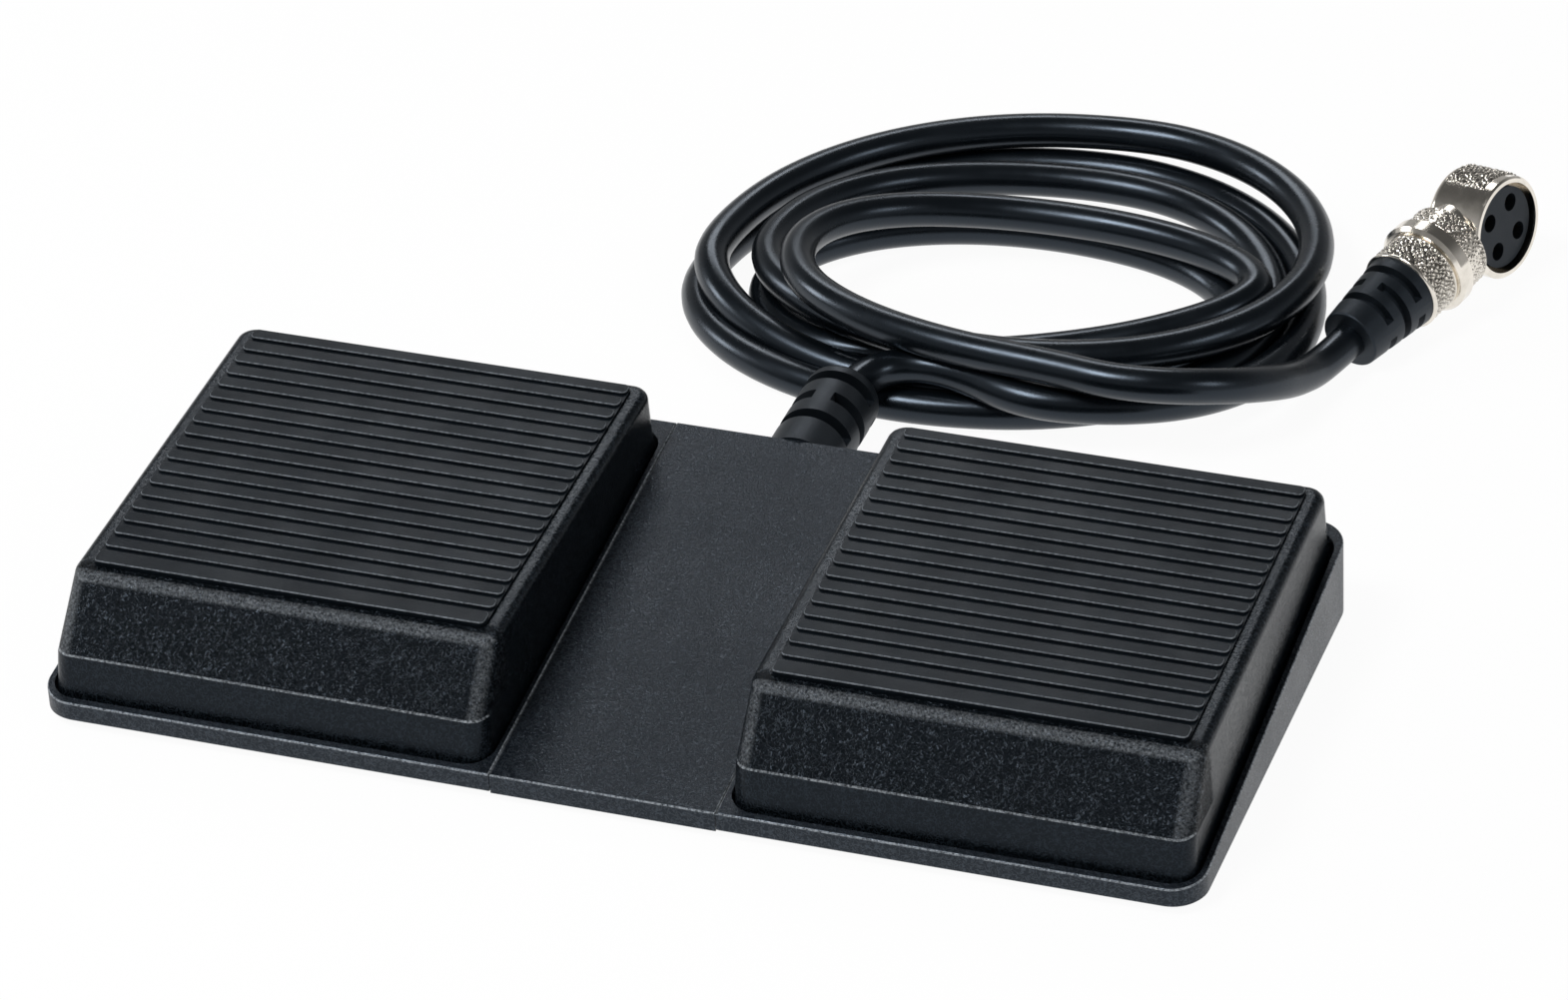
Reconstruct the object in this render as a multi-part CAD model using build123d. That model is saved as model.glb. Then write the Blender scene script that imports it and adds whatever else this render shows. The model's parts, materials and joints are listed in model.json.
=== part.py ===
from build123d import *
import math
import os

os.makedirs("parts", exist_ok=True)

# A pair of foot pedals in one low wedge-shaped base, with a cord and a round elbow plug.
# Millimetres. +X is to the user's right, +Y runs from the heel edge to the cord, +Z is up.
# The origin is on the floor under the middle of the base. "Shell height" is measured from
# the underside of the base shells, which the rubber feet lift off the floor.

# Overall sizes
BASE_WIDTH = 220.0
BASE_DEPTH = 100.0
BRIDGE_WIDTH = 43.0
LIP_HEIGHT = 4.0
BACK_HEIGHT = 16.2
FOOT_PROUD = 1.5

# Shell walls
FLOOR_THICK = 2.0
FRONT_RIM = 1.5
BACK_RIM = 3.0
OUTER_RIM = 1.2
SEAM_RIM = 1.0
TRAY_CORNER = 6.5
SEAM_GAP = 0.15
COVER_WALL = 1.8
EDGE_ROUND = 0.4
POST_ROOT = 0.5
CUT = 1.0

# Pedal
FRONT_GAP = 1.1
BACK_GAP = 1.1
SIDE_GAP = 0.5
SKIRT_FLOOR_GAP = 0.8
SKIRT_BACK_FLOOR_GAP = 1.2
SKIRT_TOP = 11.8
SKIRT_LEAN = 1.3
BEVEL_RUN = 9.7
TOP_FRONT_HEIGHT = 23.7
TOP_BACK_HEIGHT = 27.2
BACK_LEAN = 0.9
OUTER_LEAN = 1.3
SEAM_LEAN = 0.8
PEDAL_WALL = 2.2
PEDAL_CORNER = 3.6
PEDAL_TOP_ROUND = 1.8
BREAK_ROUND = 0.4
PEDAL_TRAVEL = 3.5

# Hinge
HINGE_SETBACK = 9.0
HINGE_FLOOR_GAP = 1.0
HINGE_PIN_RADIUS = 1.5
HINGE_RUNNING_FIT = 0.05
HINGE_PRESS_FIT = 0.01
HINGE_BOSS_WALL = 1.5
HINGE_POST_SETIN = 11.75
HINGE_POST_WIDTH = 4.0
HINGE_SIDE_PLAY = 0.6
PIN_END = 0.9
PIN_CHAMFER = 0.3
CLIP_RIM = 1.7
CLIP_THICK = 0.7
CLIP_MOUTH = 1.8

# Tread pad
TREAD_SIDE_BORDER = 3.2
TREAD_FRONT_BORDER = 2.4
TREAD_BACK_BORDER = 2.2
TREAD_SHEET = 0.9
TREAD_PROUD = 0.5
TREAD_CORNER = 1.4
RIB_COUNT = 19
RIB_HEIGHT = 0.6
FRONT_RIB_WIDTH = 3.5
GROOVE_WIDTH = 1.4
RIB_ROUND = 0.2
RIB_INSET = 0.25
RIB_ROOT = 0.3
RIB_CORNER = 1.0

# Return springs
SPRING_SETIN = 20.25
SPRING_FROM_BACK = 22.0
SPRING_OUTER_RADIUS = 4.0
SPRING_WIRE_RADIUS = 0.45
SPRING_TURNS = 7
SPRING_END_GAP = 0.05
SPIGOT_PLAY = 0.6
SPIGOT_HEIGHT = 3.5

# Stops
BUMPER_FROM_BACK = 13.5
BUMPER_RADIUS = 4.5
BUMPER_HEIGHT = 5.0
BUMPER_ROUND = 0.8
BUMPER_SEAT_WALL = 1.0
BUMPER_SEAT_HEIGHT = 1.6
CATCH_SETIN = 10.25
CATCH_WIDTH = 6.0
CATCH_POST_FROM_RIM = 9.0
CATCH_POST_THICK = 2.5
CATCH_HEAD_REACH = 2.2
CATCH_HEAD_BOTTOM = 11.0
CATCH_HEAD_THICK = 2.0
CATCH_GAP = 0.3
CATCH_ARM_THICK = 1.8
CATCH_ARM_GAP = 1.6
CATCH_FOOT_GAP = 0.9
CATCH_FOOT_THICK = 1.6
STOP_BOSS_RADIUS = 4.0
STOP_GAP = 0.1

# Switch
SWITCH_WIDTH = 6.4
SWITCH_LENGTH = 20.0
SWITCH_HEIGHT = 10.0
SWITCH_FROM_BACK = 50.0
SWITCH_RISE = 4.0
SWITCH_ROUND = 0.5
SWITCH_HOLE_SPACING = 9.5
SWITCH_HOLE_HEIGHT = 3.0
SWITCH_SCREW_RADIUS = 1.0
SWITCH_SCREW_HEAD_RADIUS = 1.9
SWITCH_SCREW_HEAD = 1.2
SWITCH_SCREW_SLOT_WIDTH = 0.5
SWITCH_SCREW_SLOT_DEPTH = 0.4
SWITCH_BRACKET_THICK = 2.0
SWITCH_BRACKET_HEIGHT = 13.5
LEVER_HINGE_SETIN = 2.0
LEVER_HINGE_RISE = 0.6
LEVER_THICK = 0.4
LEVER_WIDTH = 4.0
LEVER_LENGTH = 18.0
LEVER_REST_ANGLE = 14.5
LEVER_BARREL_RADIUS = 0.5
LEVER_PIN_RADIUS = 0.25
LEVER_SIDE_PLAY = 0.2
LEVER_EAR_THICK = 0.7
LEVER_EAR_HALF = 1.0
LEVER_EAR_RISE = 0.9
BUTTON_REACH = 5.0
BUTTON_RADIUS = 0.8
BUTTON_WIDTH = 1.6
BUTTON_GAP = 0.12
BUTTON_STEM = 2.6
BUTTON_TRAVEL = 1.17
BUTTON_SLOT_PLAY = 0.15
BUTTON_END_PLAY = 0.3
PRESSER_REACH = 15.0
PRESSER_RADIUS = 2.0
PRESSER_WIDTH = 4.0
PRESSER_GAP = 0.25
TERMINAL_LENGTH = 3.2
TERMINAL_WIDTH = 2.8
TERMINAL_THICK = 0.5
TERMINAL_PITCH = 8.0

# Feet
FOOT_RADIUS = 5.0
FOOT_RECESS = 0.8
FOOT_SETIN = 10.25
FOOT_FROM_END = 12.0
FOOT_ROUND = 0.4
FOOT_FIT = 0.15

# Bridge
TONGUE_REACH = 9.0
TONGUE_WIDTH = 10.0
TONGUE_FRONT = 37.0
TONGUE_FROM_BACK = 16.0
TONGUE_PLAY = 0.3
TIE_SCREW_SETIN = 4.5
SCREW_RADIUS = 1.25
SCREW_HEAD_FLARE = 1.05
SCREW_HEAD_HEIGHT = 1.2
SCREW_END_GAP = 0.2
CROSS_SLOT_LENGTH = 2.6
CROSS_SLOT_WIDTH = 0.5
CROSS_SLOT_DEPTH = 0.5
SCREW_HOLE_FIT = 0.02
BOSS_WALL = 1.65
BOSS_CEILING_GAP = 1.2
FRONT_TIP_GAP = 0.3
FLOOR_SCREW_FRONT = 38.0
FLOOR_SCREW_FROM_BACK = 7.0
FLOOR_SCREW_SPREAD = 14.0
BRIDGE_FLOOR_PLAY = 0.2
LEAD_SLOT_SETIN = 3.0
LEAD_SLOT_WIDTH = 6.0
LEAD_SLOT_HEIGHT = 3.4
LEAD_NOTCH_GAP = 1.2
LEAD_NOTCH_SIDE = 1.0

# Terminal block
BLOCK_LENGTH = 22.0
BLOCK_WIDTH = 9.0
BLOCK_HEIGHT = 6.4
BLOCK_FROM_BACK = 39.0
BLOCK_ROUND = 0.6
POLE_PITCH = 5.0
POLE_COUNT = 4
POLE_SCREW_RADIUS = 1.3
POLE_SCREW_HEIGHT = 1.2
POLE_SCREW_SETIN = 2.5
POLE_SCREW_SINK = 0.2
POLE_SCREW_SLOT = 0.4
POLE_SCREW_SLOT_DEPTH = 0.4

# Wires
LEAD_RADIUS = 0.75
LEAD_RISE = 1.8
LEAD_START_RUN = 8.0
LEAD_END_RUN = 5.0
LEAD_INSIDE_RUN = 4.0
LEAD_SPACING = 2.6
LEAD_END_SHIFTS = (0.9, 0.4)
CONDUCTOR_RADIUS = 0.65
CONDUCTOR_SPREAD = 1.3
CONDUCTOR_RUN = 3.0
CONDUCTOR_RISE = 1.0

# Cord and its strain relief
CORD_RADIUS = 3.5
CORD_OFFSET = 2.3
CORD_HEIGHT = 9.2
CORD_FIT = 0.05
CORD_LEAD_END = 88.0
CORD_TAIL_FROM_BACK = 19.0
CORD_GROOVE_LEAD = 1.0
CLAMP_FROM_BACK = 16.0
CLAMP_WIDTH = 6.0
CLAMP_HALF_LENGTH = 10.0
CLAMP_BAR_WALL = 1.1
CLAMP_BAR_GAP = 0.4
CLAMP_SCREW_WALL = 2.3
CLAMP_SCREW_RADIUS = 1.0
CLAMP_TIP_GAP = 1.05
GLAND_WALL = 4.0
GLAND_LENGTH = 27.5
GLAND_END_ROUND = 2.0
GLAND_NECK_WALL = 1.2
GLAND_NECK_FIT = 0.05
GLAND_FLANGE_THICK = 1.6
GLAND_FLANGE_HALF_WIDTH = 7.0
GLAND_FLANGE_GAP = 0.3
GLAND_BACK_WALL = 2.4
GLAND_ROWS = 3
GLAND_FIRST_SLOT = 7.6
GLAND_SLOT_PITCH = 6.9
GLAND_SLOT_WIDTH = 2.8
GLAND_SLOT_DEPTH = 2.6
SLOT_BRIDGE = 3.6

# Coil of cord on the floor behind the base
COIL_CENTRE = (17.5, 133.5)
COIL_HALF_LENGTH = 64.0
COIL_HALF_WIDTH = 54.0
COIL_TURN = 18.0
COIL_HOLE_CENTRE = (21.5, 127.0)
COIL_HOLE_HALF_LENGTH = 40.0
COIL_HOLE_HALF_WIDTH = 19.0
COIL_HOLE_TURN = 16.0
COIL_FRONT_HEIGHT = 21.0
COIL_MIDDLE_HEIGHT = 17.0
COIL_BACK_HEIGHT = 14.0
COIL_RAMP = 12.0
COIL_POCKET = 0.3

# Cord from the coil to the plug
PLUG_LEAD_POINTS = [
    (42.0, 87.0, 17.5),
    (53.0, 85.2, 17.5),
    (64.5, 86.8, 17.2),
    (74.0, 93.0, 15.0),
    (79.5, 101.5, 11.3),
    (82.6, 111.0, 7.0),
]
PLUG_LEAD_RUN = 9.0

# Plug
PLUG_PLACE = (88.2, 128.4, 6.2)
PLUG_YAW = 20.7
PLUG_RISE = 8.4
PLUG_ROLL = 7.7
PLUG_LENGTH = 42.7
PLUG_CORE_RADIUS = 6.4
BOOT_LENGTH = 17.0
BOOT_END_RADIUS = 6.1
BOOT_ROOT_RADIUS = 7.9
BOOT_END_ROUND = 0.5
BOOT_ROOT_DEPTH = 4.5
BOOT_ROWS = 3
BOOT_FIRST_SLOT = 4.6
BOOT_SLOT_PITCH = 4.1
BOOT_SLOT_WIDTH = 1.9
BOOT_SLOT_DEPTH = 1.7
NUT_LENGTH = 7.5
NUT_RADIUS = 8.5
NUT_CHAMFER = 0.5
PLUG_COLLAR_LENGTH = 4.0
PLUG_COLLAR_RADIUS = 9.8
PLUG_COLLAR_CHAMFER = 0.7
BAND_LENGTH = 5.5
BAND_RADIUS = 8.8
BAND_CHAMFER = 0.3
SHOULDER_RADIUS = 8.0
HEAD_RADIUS = 10.3
HEAD_BACK = 5.0
HEAD_FRONT = 7.9
HEAD_BACK_ROUND = 1.6
HEAD_RIM_CHAMFER = 0.4
MOUTH_RIM = 1.2
MOUTH_DEPTH = 5.7
SPOT_FACE_MARGIN = 0.2
INSERT_RADIUS = 8.2
INSERT_STUB_RADIUS = 5.4
INSERT_STUB_LENGTH = 4.6
INSERT_RECESS = 1.0
CONTACT_COUNT = 4
CONTACT_START = 49.0
CONTACT_CIRCLE = 5.0
CONTACT_WALL = 0.5
CONTACT_PLAY = 0.2
CONTACT_BORE = 1.1
CONTACT_BASE = 0.8
CONTACT_RECESS = 2.2
CONTACT_DEPTH = 4.0

# Places worked out from the sizes
SEAM_X = BRIDGE_WIDTH / 2
OUTER_X = BASE_WIDTH / 2
MIDDLE_X = (SEAM_X + OUTER_X) / 2
HALF_UNIT = (OUTER_X - SEAM_X) / 2
FRONT_Y = -BASE_DEPTH / 2
BACK_Y = BASE_DEPTH / 2
TRAVEL_RADIANS = math.radians(PEDAL_TRAVEL)
SHELL_SLOPE = (BACK_HEIGHT - LIP_HEIGHT) / BASE_DEPTH
SKIRT_FRONT = FRONT_RIM + FRONT_GAP
SKIRT_BACK = BASE_DEPTH - BACK_RIM - BACK_GAP
SKIRT_BOTTOM = FLOOR_THICK + SKIRT_FLOOR_GAP
SKIRT_SWING = (SKIRT_BACK - HINGE_SETBACK) * math.tan(TRAVEL_RADIANS)
SKIRT_BACK_BOTTOM = FLOOR_THICK + SKIRT_BACK_FLOOR_GAP + SKIRT_SWING
TOP_FRONT = SKIRT_FRONT + SKIRT_LEAN + BEVEL_RUN
TOP_BACK = SKIRT_BACK - BACK_LEAN
TOP_SLOPE = math.degrees(math.atan2(TOP_BACK_HEIGHT - TOP_FRONT_HEIGHT, TOP_BACK - TOP_FRONT))
HINGE_BOSS_RADIUS = HINGE_PIN_RADIUS + HINGE_BOSS_WALL
HINGE_HEIGHT = FLOOR_THICK + HINGE_FLOOR_GAP + HINGE_BOSS_RADIUS
HINGE_POST_OFFSET = HALF_UNIT - HINGE_POST_SETIN
CLIP_RADIUS = HINGE_PIN_RADIUS + CLIP_RIM
SPRING_OFFSET = HALF_UNIT - SPRING_SETIN
SPRING_SETBACK = BASE_DEPTH - SPRING_FROM_BACK
SPIGOT_RADIUS = SPRING_OUTER_RADIUS - 2 * SPRING_WIRE_RADIUS - SPIGOT_PLAY
BUMPER_SETBACK = BASE_DEPTH - BUMPER_FROM_BACK
CATCH_OFFSET = HALF_UNIT - CATCH_SETIN
CATCH_POST_FRONT = BASE_DEPTH - BACK_RIM - CATCH_POST_FROM_RIM
SWITCH_SETBACK = BASE_DEPTH - SWITCH_FROM_BACK
SWITCH_BOTTOM = FLOOR_THICK + SWITCH_RISE
FOOT_OFFSET = HALF_UNIT - FOOT_SETIN
TONGUE_BACK = BASE_DEPTH - TONGUE_FROM_BACK
SCREW_HEAD_RADIUS = SCREW_RADIUS + SCREW_HEAD_FLARE
BOSS_RADIUS = SCREW_RADIUS + BOSS_WALL
FLOOR_SCREW_BACK = BASE_DEPTH - FLOOR_SCREW_FROM_BACK
LEAD_HEIGHT = FLOOR_THICK + LEAD_RISE
LEAD_SLOT_FRONT = SWITCH_SETBACK + LEAD_SLOT_SETIN
LEAD_SLOT_BACK = LEAD_SLOT_FRONT + LEAD_SLOT_WIDTH
BLOCK_SETBACK = BASE_DEPTH - BLOCK_FROM_BACK
CORD_TAIL_START = BASE_DEPTH - CORD_TAIL_FROM_BACK
CLAMP_FRONT = BASE_DEPTH - CLAMP_FROM_BACK
CLAMP_BAR_BOTTOM = CORD_HEIGHT - CORD_RADIUS - CLAMP_BAR_WALL
CLAMP_SCREW_OFFSET = CORD_RADIUS + CLAMP_SCREW_RADIUS + CLAMP_SCREW_WALL
GLAND_RADIUS = CORD_RADIUS + GLAND_WALL
GLAND_NECK_RADIUS = CORD_RADIUS + GLAND_NECK_WALL
MOUTH_RADIUS = HEAD_RADIUS - MOUTH_RIM
CONTACT_RADIUS = CONTACT_BORE + CONTACT_WALL
CONTACT_HOLE_RADIUS = CONTACT_RADIUS + CONTACT_PLAY


def up(height):
    """Height above the floor of a shell height."""
    return height + FOOT_PROUD


def back(setback):
    """Y of a distance measured from the front edge."""
    return FRONT_Y + setback


def shell_height(setback):
    """Shell height of the sloping top rim at a distance from the front edge."""
    return LIP_HEIGHT + SHELL_SLOPE * setback


def top_height(setback):
    """Shell height of the pedal's top face at a distance from the front edge."""
    share = (setback - TOP_FRONT) / (TOP_BACK - TOP_FRONT)
    return TOP_FRONT_HEIGHT + share * (TOP_BACK_HEIGHT - TOP_FRONT_HEIGHT)


def inner_top(setback):
    """Shell height of the inside of the pedal's top."""
    return top_height(setback) - PEDAL_WALL / math.cos(math.radians(TOP_SLOPE))


def block(x_range, y_range, z_range):
    """Box between two limits on each axis."""
    size = [limits[1] - limits[0] for limits in (x_range, y_range, z_range)]
    middle = [sum(limits) / 2 for limits in (x_range, y_range, z_range)]
    return Pos(*middle) * Box(*size)


def rod_z(x, y, z_range, radius):
    """Upright cylinder."""
    length = z_range[1] - z_range[0]
    return Pos(x, y, sum(z_range) / 2) * Cylinder(radius, length)


def rod_x(x_range, y, z, radius):
    """Cylinder along X."""
    length = x_range[1] - x_range[0]
    return Pos(sum(x_range) / 2, y, z) * Rot(0, 90, 0) * Cylinder(radius, length)


def rod_y(x, y_range, z, radius):
    """Cylinder along Y."""
    length = y_range[1] - y_range[0]
    return Pos(x, sum(y_range) / 2, z) * Rot(90, 0, 0) * Cylinder(radius, length)


def side_prism(outline, x_range):
    """Extrude an outline of (setback, shell height) pairs along X."""
    corners = [(x_range[0], back(setback), up(height)) for setback, height in outline]
    face = make_face(Polyline(*corners, close=True))
    return extrude(face, amount=x_range[1] - x_range[0], dir=(1, 0, 0))


def front_prism(outline, y_range):
    """Extrude an outline of (x, shell height) pairs along Y."""
    corners = [(x, y_range[0], up(height)) for x, height in outline]
    face = make_face(Polyline(*corners, close=True))
    return extrude(face, amount=y_range[1] - y_range[0], dir=(0, 1, 0))


def rounded_plan(x_range, y_range, z_range, outer_corner, inner_corner):
    """Upright block with its +X corners and its -X corners rounded in plan."""
    solid = block(x_range, y_range, z_range)
    upright = solid.edges().filter_by(Axis.Z)
    solid = fillet(upright.group_by(Axis.X)[-1], outer_corner)
    if inner_corner > 0:
        upright = solid.edges().filter_by(Axis.Z)
        solid = fillet(upright.group_by(Axis.X)[0], inner_corner)
    return solid


def tube_along(points, radius):
    """Round tube along straight runs joined by arcs as large as the runs allow."""
    corners = [Vector(*point) for point in points]
    runs = [after - before for before, after in zip(corners, corners[1:])]
    radii = []
    for before, after in zip(runs, runs[1:]):
        turn = math.radians(before.get_angle(after))
        radii.append(0.45 * min(before.length, after.length) / math.tan(turn / 2))
    path = FilletPolyline(*corners, radius=radii)
    section = Plane(origin=path @ 0, z_dir=path % 0) * Circle(radius)
    return sweep(section, path=path), path, radii


def both_sides(name, solid):
    """Pair of parts, the right-hand one as drawn and its mirror image on the left."""
    return {"right_" + name: solid, "left_" + name: mirror(solid, about=Plane.YZ)}


def joined(solids):
    """Group of separate solids in one part."""
    return Compound([solid for group in solids for solid in group.solids()])


# Base trays

def tongue_setbacks():
    return [TONGUE_FRONT, TONGUE_BACK]


def tie_screw_places():
    """Centres of the screws through the right-hand tray's tongues."""
    return [(SEAM_X - TIE_SCREW_SETIN, back(setback)) for setback in tongue_setbacks()]


def foot_places():
    return [
        (MIDDLE_X + side * FOOT_OFFSET, back(setback))
        for side in (-1, 1)
        for setback in (FOOT_FROM_END, BASE_DEPTH - FOOT_FROM_END)
    ]


def hinge_boss(x_range, bottom):
    """Post that holds the hinge pin, from a shell height up to a round head."""
    y = back(HINGE_SETBACK)
    head = rod_x(x_range, y, up(HINGE_HEIGHT), HINGE_BOSS_RADIUS)
    y_range = (y - HINGE_BOSS_RADIUS, y + HINGE_BOSS_RADIUS)
    return head + block(x_range, y_range, (up(bottom), up(HINGE_HEIGHT)))


def switch_screw_height():
    return up(SWITCH_BOTTOM + SWITCH_HOLE_HEIGHT)


def switch_screw_setbacks():
    middle = SWITCH_SETBACK + SWITCH_LENGTH / 2
    return [middle - SWITCH_HOLE_SPACING / 2, middle + SWITCH_HOLE_SPACING / 2]


def tray_posts():
    """Hinge posts, spigots, catches, bumper seat and switch bracket on the tray's floor."""
    floor = FLOOR_THICK - POST_ROOT
    posts = []
    for side in (-1, 1):
        near = MIDDLE_X + side * HINGE_POST_OFFSET
        far = near + side * HINGE_POST_WIDTH
        posts.append(hinge_boss((min(near, far), max(near, far)), floor))
        spring_x = MIDDLE_X + side * SPRING_OFFSET
        spigot_top = up(FLOOR_THICK + SPIGOT_HEIGHT)
        posts.append(rod_z(spring_x, back(SPRING_SETBACK), (up(floor), spigot_top), SPIGOT_RADIUS))
        catch_x = MIDDLE_X + side * CATCH_OFFSET
        x_range = (catch_x - CATCH_WIDTH / 2, catch_x + CATCH_WIDTH / 2)
        head_top = CATCH_HEAD_BOTTOM + CATCH_HEAD_THICK
        post_back = CATCH_POST_FRONT + CATCH_POST_THICK
        posts.append(side_prism(
            [
                (CATCH_POST_FRONT, floor),
                (post_back, floor),
                (post_back, head_top),
                (CATCH_POST_FRONT - CATCH_HEAD_REACH, head_top),
                (CATCH_POST_FRONT - CATCH_HEAD_REACH, CATCH_HEAD_BOTTOM),
                (CATCH_POST_FRONT, CATCH_HEAD_BOTTOM),
            ],
            x_range,
        ))
    bumper_y = back(BUMPER_SETBACK)
    seat_top = up(FLOOR_THICK + BUMPER_SEAT_HEIGHT)
    seat = rod_z(MIDDLE_X, bumper_y, (up(floor), seat_top), BUMPER_RADIUS + BUMPER_SEAT_WALL)
    seat -= rod_z(MIDDLE_X, bumper_y, (up(FLOOR_THICK), seat_top), BUMPER_RADIUS)
    posts.append(seat)
    bracket_x = MIDDLE_X + SWITCH_WIDTH / 2
    bracket = block(
        (bracket_x, bracket_x + SWITCH_BRACKET_THICK),
        (back(SWITCH_SETBACK), back(SWITCH_SETBACK + SWITCH_LENGTH)),
        (up(floor), up(SWITCH_BRACKET_HEIGHT)),
    )
    for setback in switch_screw_setbacks():
        reach = (bracket_x - CUT, bracket_x + SWITCH_BRACKET_THICK + CUT)
        bracket -= rod_x(reach, back(setback), switch_screw_height(), SWITCH_SCREW_RADIUS)
    posts.append(bracket)
    return posts


def make_tray():
    """Right-hand tray: a wedge-shaped open box that the pedal sinks into."""
    body = rounded_plan((SEAM_X, OUTER_X), (FRONT_Y, BACK_Y), (up(0), up(BACK_HEIGHT)), TRAY_CORNER, 0)
    wedge = [(0, 0), (BASE_DEPTH, 0), (BASE_DEPTH, BACK_HEIGHT), (0, LIP_HEIGHT)]
    body = body & side_prism(wedge, (SEAM_X, OUTER_X))
    body = chamfer(body.faces().sort_by(Axis.Z)[0].edges(), EDGE_ROUND)
    body = fillet(body.faces().sort_by(Axis.Z)[-1].edges(), EDGE_ROUND)
    body -= rounded_plan(
        (SEAM_X + SEAM_RIM, OUTER_X - OUTER_RIM),
        (FRONT_Y + FRONT_RIM, BACK_Y - BACK_RIM),
        (up(FLOOR_THICK), up(BACK_HEIGHT + CUT)),
        TRAY_CORNER - OUTER_RIM,
        TRAY_CORNER - OUTER_RIM,
    )
    for post in tray_posts():
        body += post
    body -= rod_x((SEAM_X + SEAM_RIM, OUTER_X - OUTER_RIM), back(HINGE_SETBACK), up(HINGE_HEIGHT),
                  HINGE_PIN_RADIUS + HINGE_PRESS_FIT)
    for setback in tongue_setbacks():
        body += block(
            (SEAM_X - TONGUE_REACH, SEAM_X + SEAM_RIM),
            (back(setback - TONGUE_WIDTH / 2), back(setback + TONGUE_WIDTH / 2)),
            (up(0), up(FLOOR_THICK)),
        )
    for x, y in tie_screw_places():
        body -= countersunk_hole(x, y)
    for x, y in foot_places():
        body -= rod_z(x, y, (up(0) - CUT, up(FOOT_RECESS)), FOOT_RADIUS + FOOT_FIT)
    body -= block(
        (SEAM_X - CUT, SEAM_X + SEAM_RIM + CUT),
        (back(LEAD_SLOT_FRONT), back(LEAD_SLOT_BACK)),
        (up(FLOOR_THICK), up(FLOOR_THICK + LEAD_SLOT_HEIGHT)),
    )
    return body


def countersunk_hole(x, y):
    """Clearance for a countersunk screw driven from below through the floor."""
    hole = rod_z(x, y, (up(0) - CUT, up(FLOOR_THICK) + CUT), SCREW_RADIUS + SCREW_HOLE_FIT)
    return hole + screw_head(x, y, SCREW_HOLE_FIT)


def screw_head(x, y, extra):
    """Countersunk head, flush with the underside of the shells."""
    cone = Cone(SCREW_HEAD_RADIUS + extra, SCREW_RADIUS + extra, SCREW_HEAD_HEIGHT)
    return Pos(x, y, up(0) + SCREW_HEAD_HEIGHT / 2) * cone


def floor_screw(x, y, tip):
    """Countersunk screw from the underside up to a shell height, with a cross slot."""
    screw = rod_z(x, y, (up(0) + SCREW_END_GAP, up(tip)), SCREW_RADIUS) + screw_head(x, y, 0)
    for turn in (0, 90):
        slot = Box(CROSS_SLOT_LENGTH, CROSS_SLOT_WIDTH, 2 * CROSS_SLOT_DEPTH)
        screw -= Pos(x, y, up(0)) * Rot(0, 0, turn) * slot
    return screw


def make_foot(x, y):
    disc = rod_z(x, y, (0, up(FOOT_RECESS)), FOOT_RADIUS)
    return fillet(disc.faces().sort_by(Axis.Z)[0].edges(), FOOT_ROUND)


# Pedals

def pedal_outline(inset, bottom_drop):
    """Side view of the pedal's solid form, shrunk by inset, as (setback, shell height) pairs."""
    lean = SKIRT_LEAN / (SKIRT_TOP - SKIRT_BOTTOM)
    skirt_drop = SKIRT_BOTTOM - bottom_drop
    outline = [
        (SKIRT_FRONT + lean * (skirt_drop - SKIRT_BOTTOM), skirt_drop),
        (SKIRT_FRONT + SKIRT_LEAN, SKIRT_TOP),
        (TOP_FRONT, TOP_FRONT_HEIGHT),
        (TOP_BACK, TOP_BACK_HEIGHT),
        (SKIRT_BACK, SKIRT_BACK_BOTTOM - bottom_drop),
    ]
    if inset == 0:
        return outline
    flat = make_face(Polyline(*outline, close=True))
    smaller = offset(flat, amount=-inset, kind=Kind.INTERSECTION)
    corners = smaller.vertices()
    centre = smaller.center()
    ordered = sorted(corners, key=lambda v: math.atan2(v.Y - centre.Y, v.X - centre.X))
    return [(v.X, v.Y) for v in ordered]


def pedal_form(inset, bottom_drop, corner):
    """Pedal without its hollow: sloping skirt, bevel and top, with drafted sides."""
    inner = SEAM_X + SEAM_RIM + SIDE_GAP + inset
    outer = OUTER_X - OUTER_RIM - SIDE_GAP - inset
    drop_share = bottom_drop / TOP_BACK_HEIGHT
    sides = [
        (inner - SEAM_LEAN * drop_share, -bottom_drop),
        (outer + OUTER_LEAN * drop_share, -bottom_drop),
        (outer - OUTER_LEAN, TOP_BACK_HEIGHT),
        (inner + SEAM_LEAN, TOP_BACK_HEIGHT),
    ]
    form = side_prism(pedal_outline(inset, bottom_drop), (inner - CUT, outer + CUT))
    form = form & front_prism(sides, (FRONT_Y - CUT, BACK_Y + CUT))
    upright = [
        edge for edge in form.edges()
        if abs((edge @ 0 - edge @ 1).X) < HALF_UNIT
        and abs((edge @ 0 - edge @ 1).Y) < BASE_DEPTH / 2
    ]
    return fillet(upright, corner)


def lead_notch_top():
    """Shell height of the notch over the leads, clear of them at full travel."""
    drop = (LEAD_SLOT_BACK - HINGE_SETBACK) * math.tan(TRAVEL_RADIANS)
    return LEAD_HEIGHT + LEAD_RADIUS + drop + LEAD_NOTCH_GAP


def presser_place():
    """Setback and height of the nose that pushes the switch lever, clear of it by a gap."""
    angle = math.radians(LEVER_REST_ANGLE)
    clear = PRESSER_RADIUS + PRESSER_GAP + LEVER_THICK / 2
    rise = (clear + PRESSER_REACH * math.sin(angle)) / math.cos(angle)
    return lever_hinge()[0] + PRESSER_REACH, lever_hinge()[1] + rise


def lever_hinge():
    """Setback and shell height of the switch lever's hinge."""
    return SWITCH_SETBACK + LEVER_HINGE_SETIN, SWITCH_BOTTOM + SWITCH_HEIGHT + LEVER_HINGE_RISE


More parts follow.
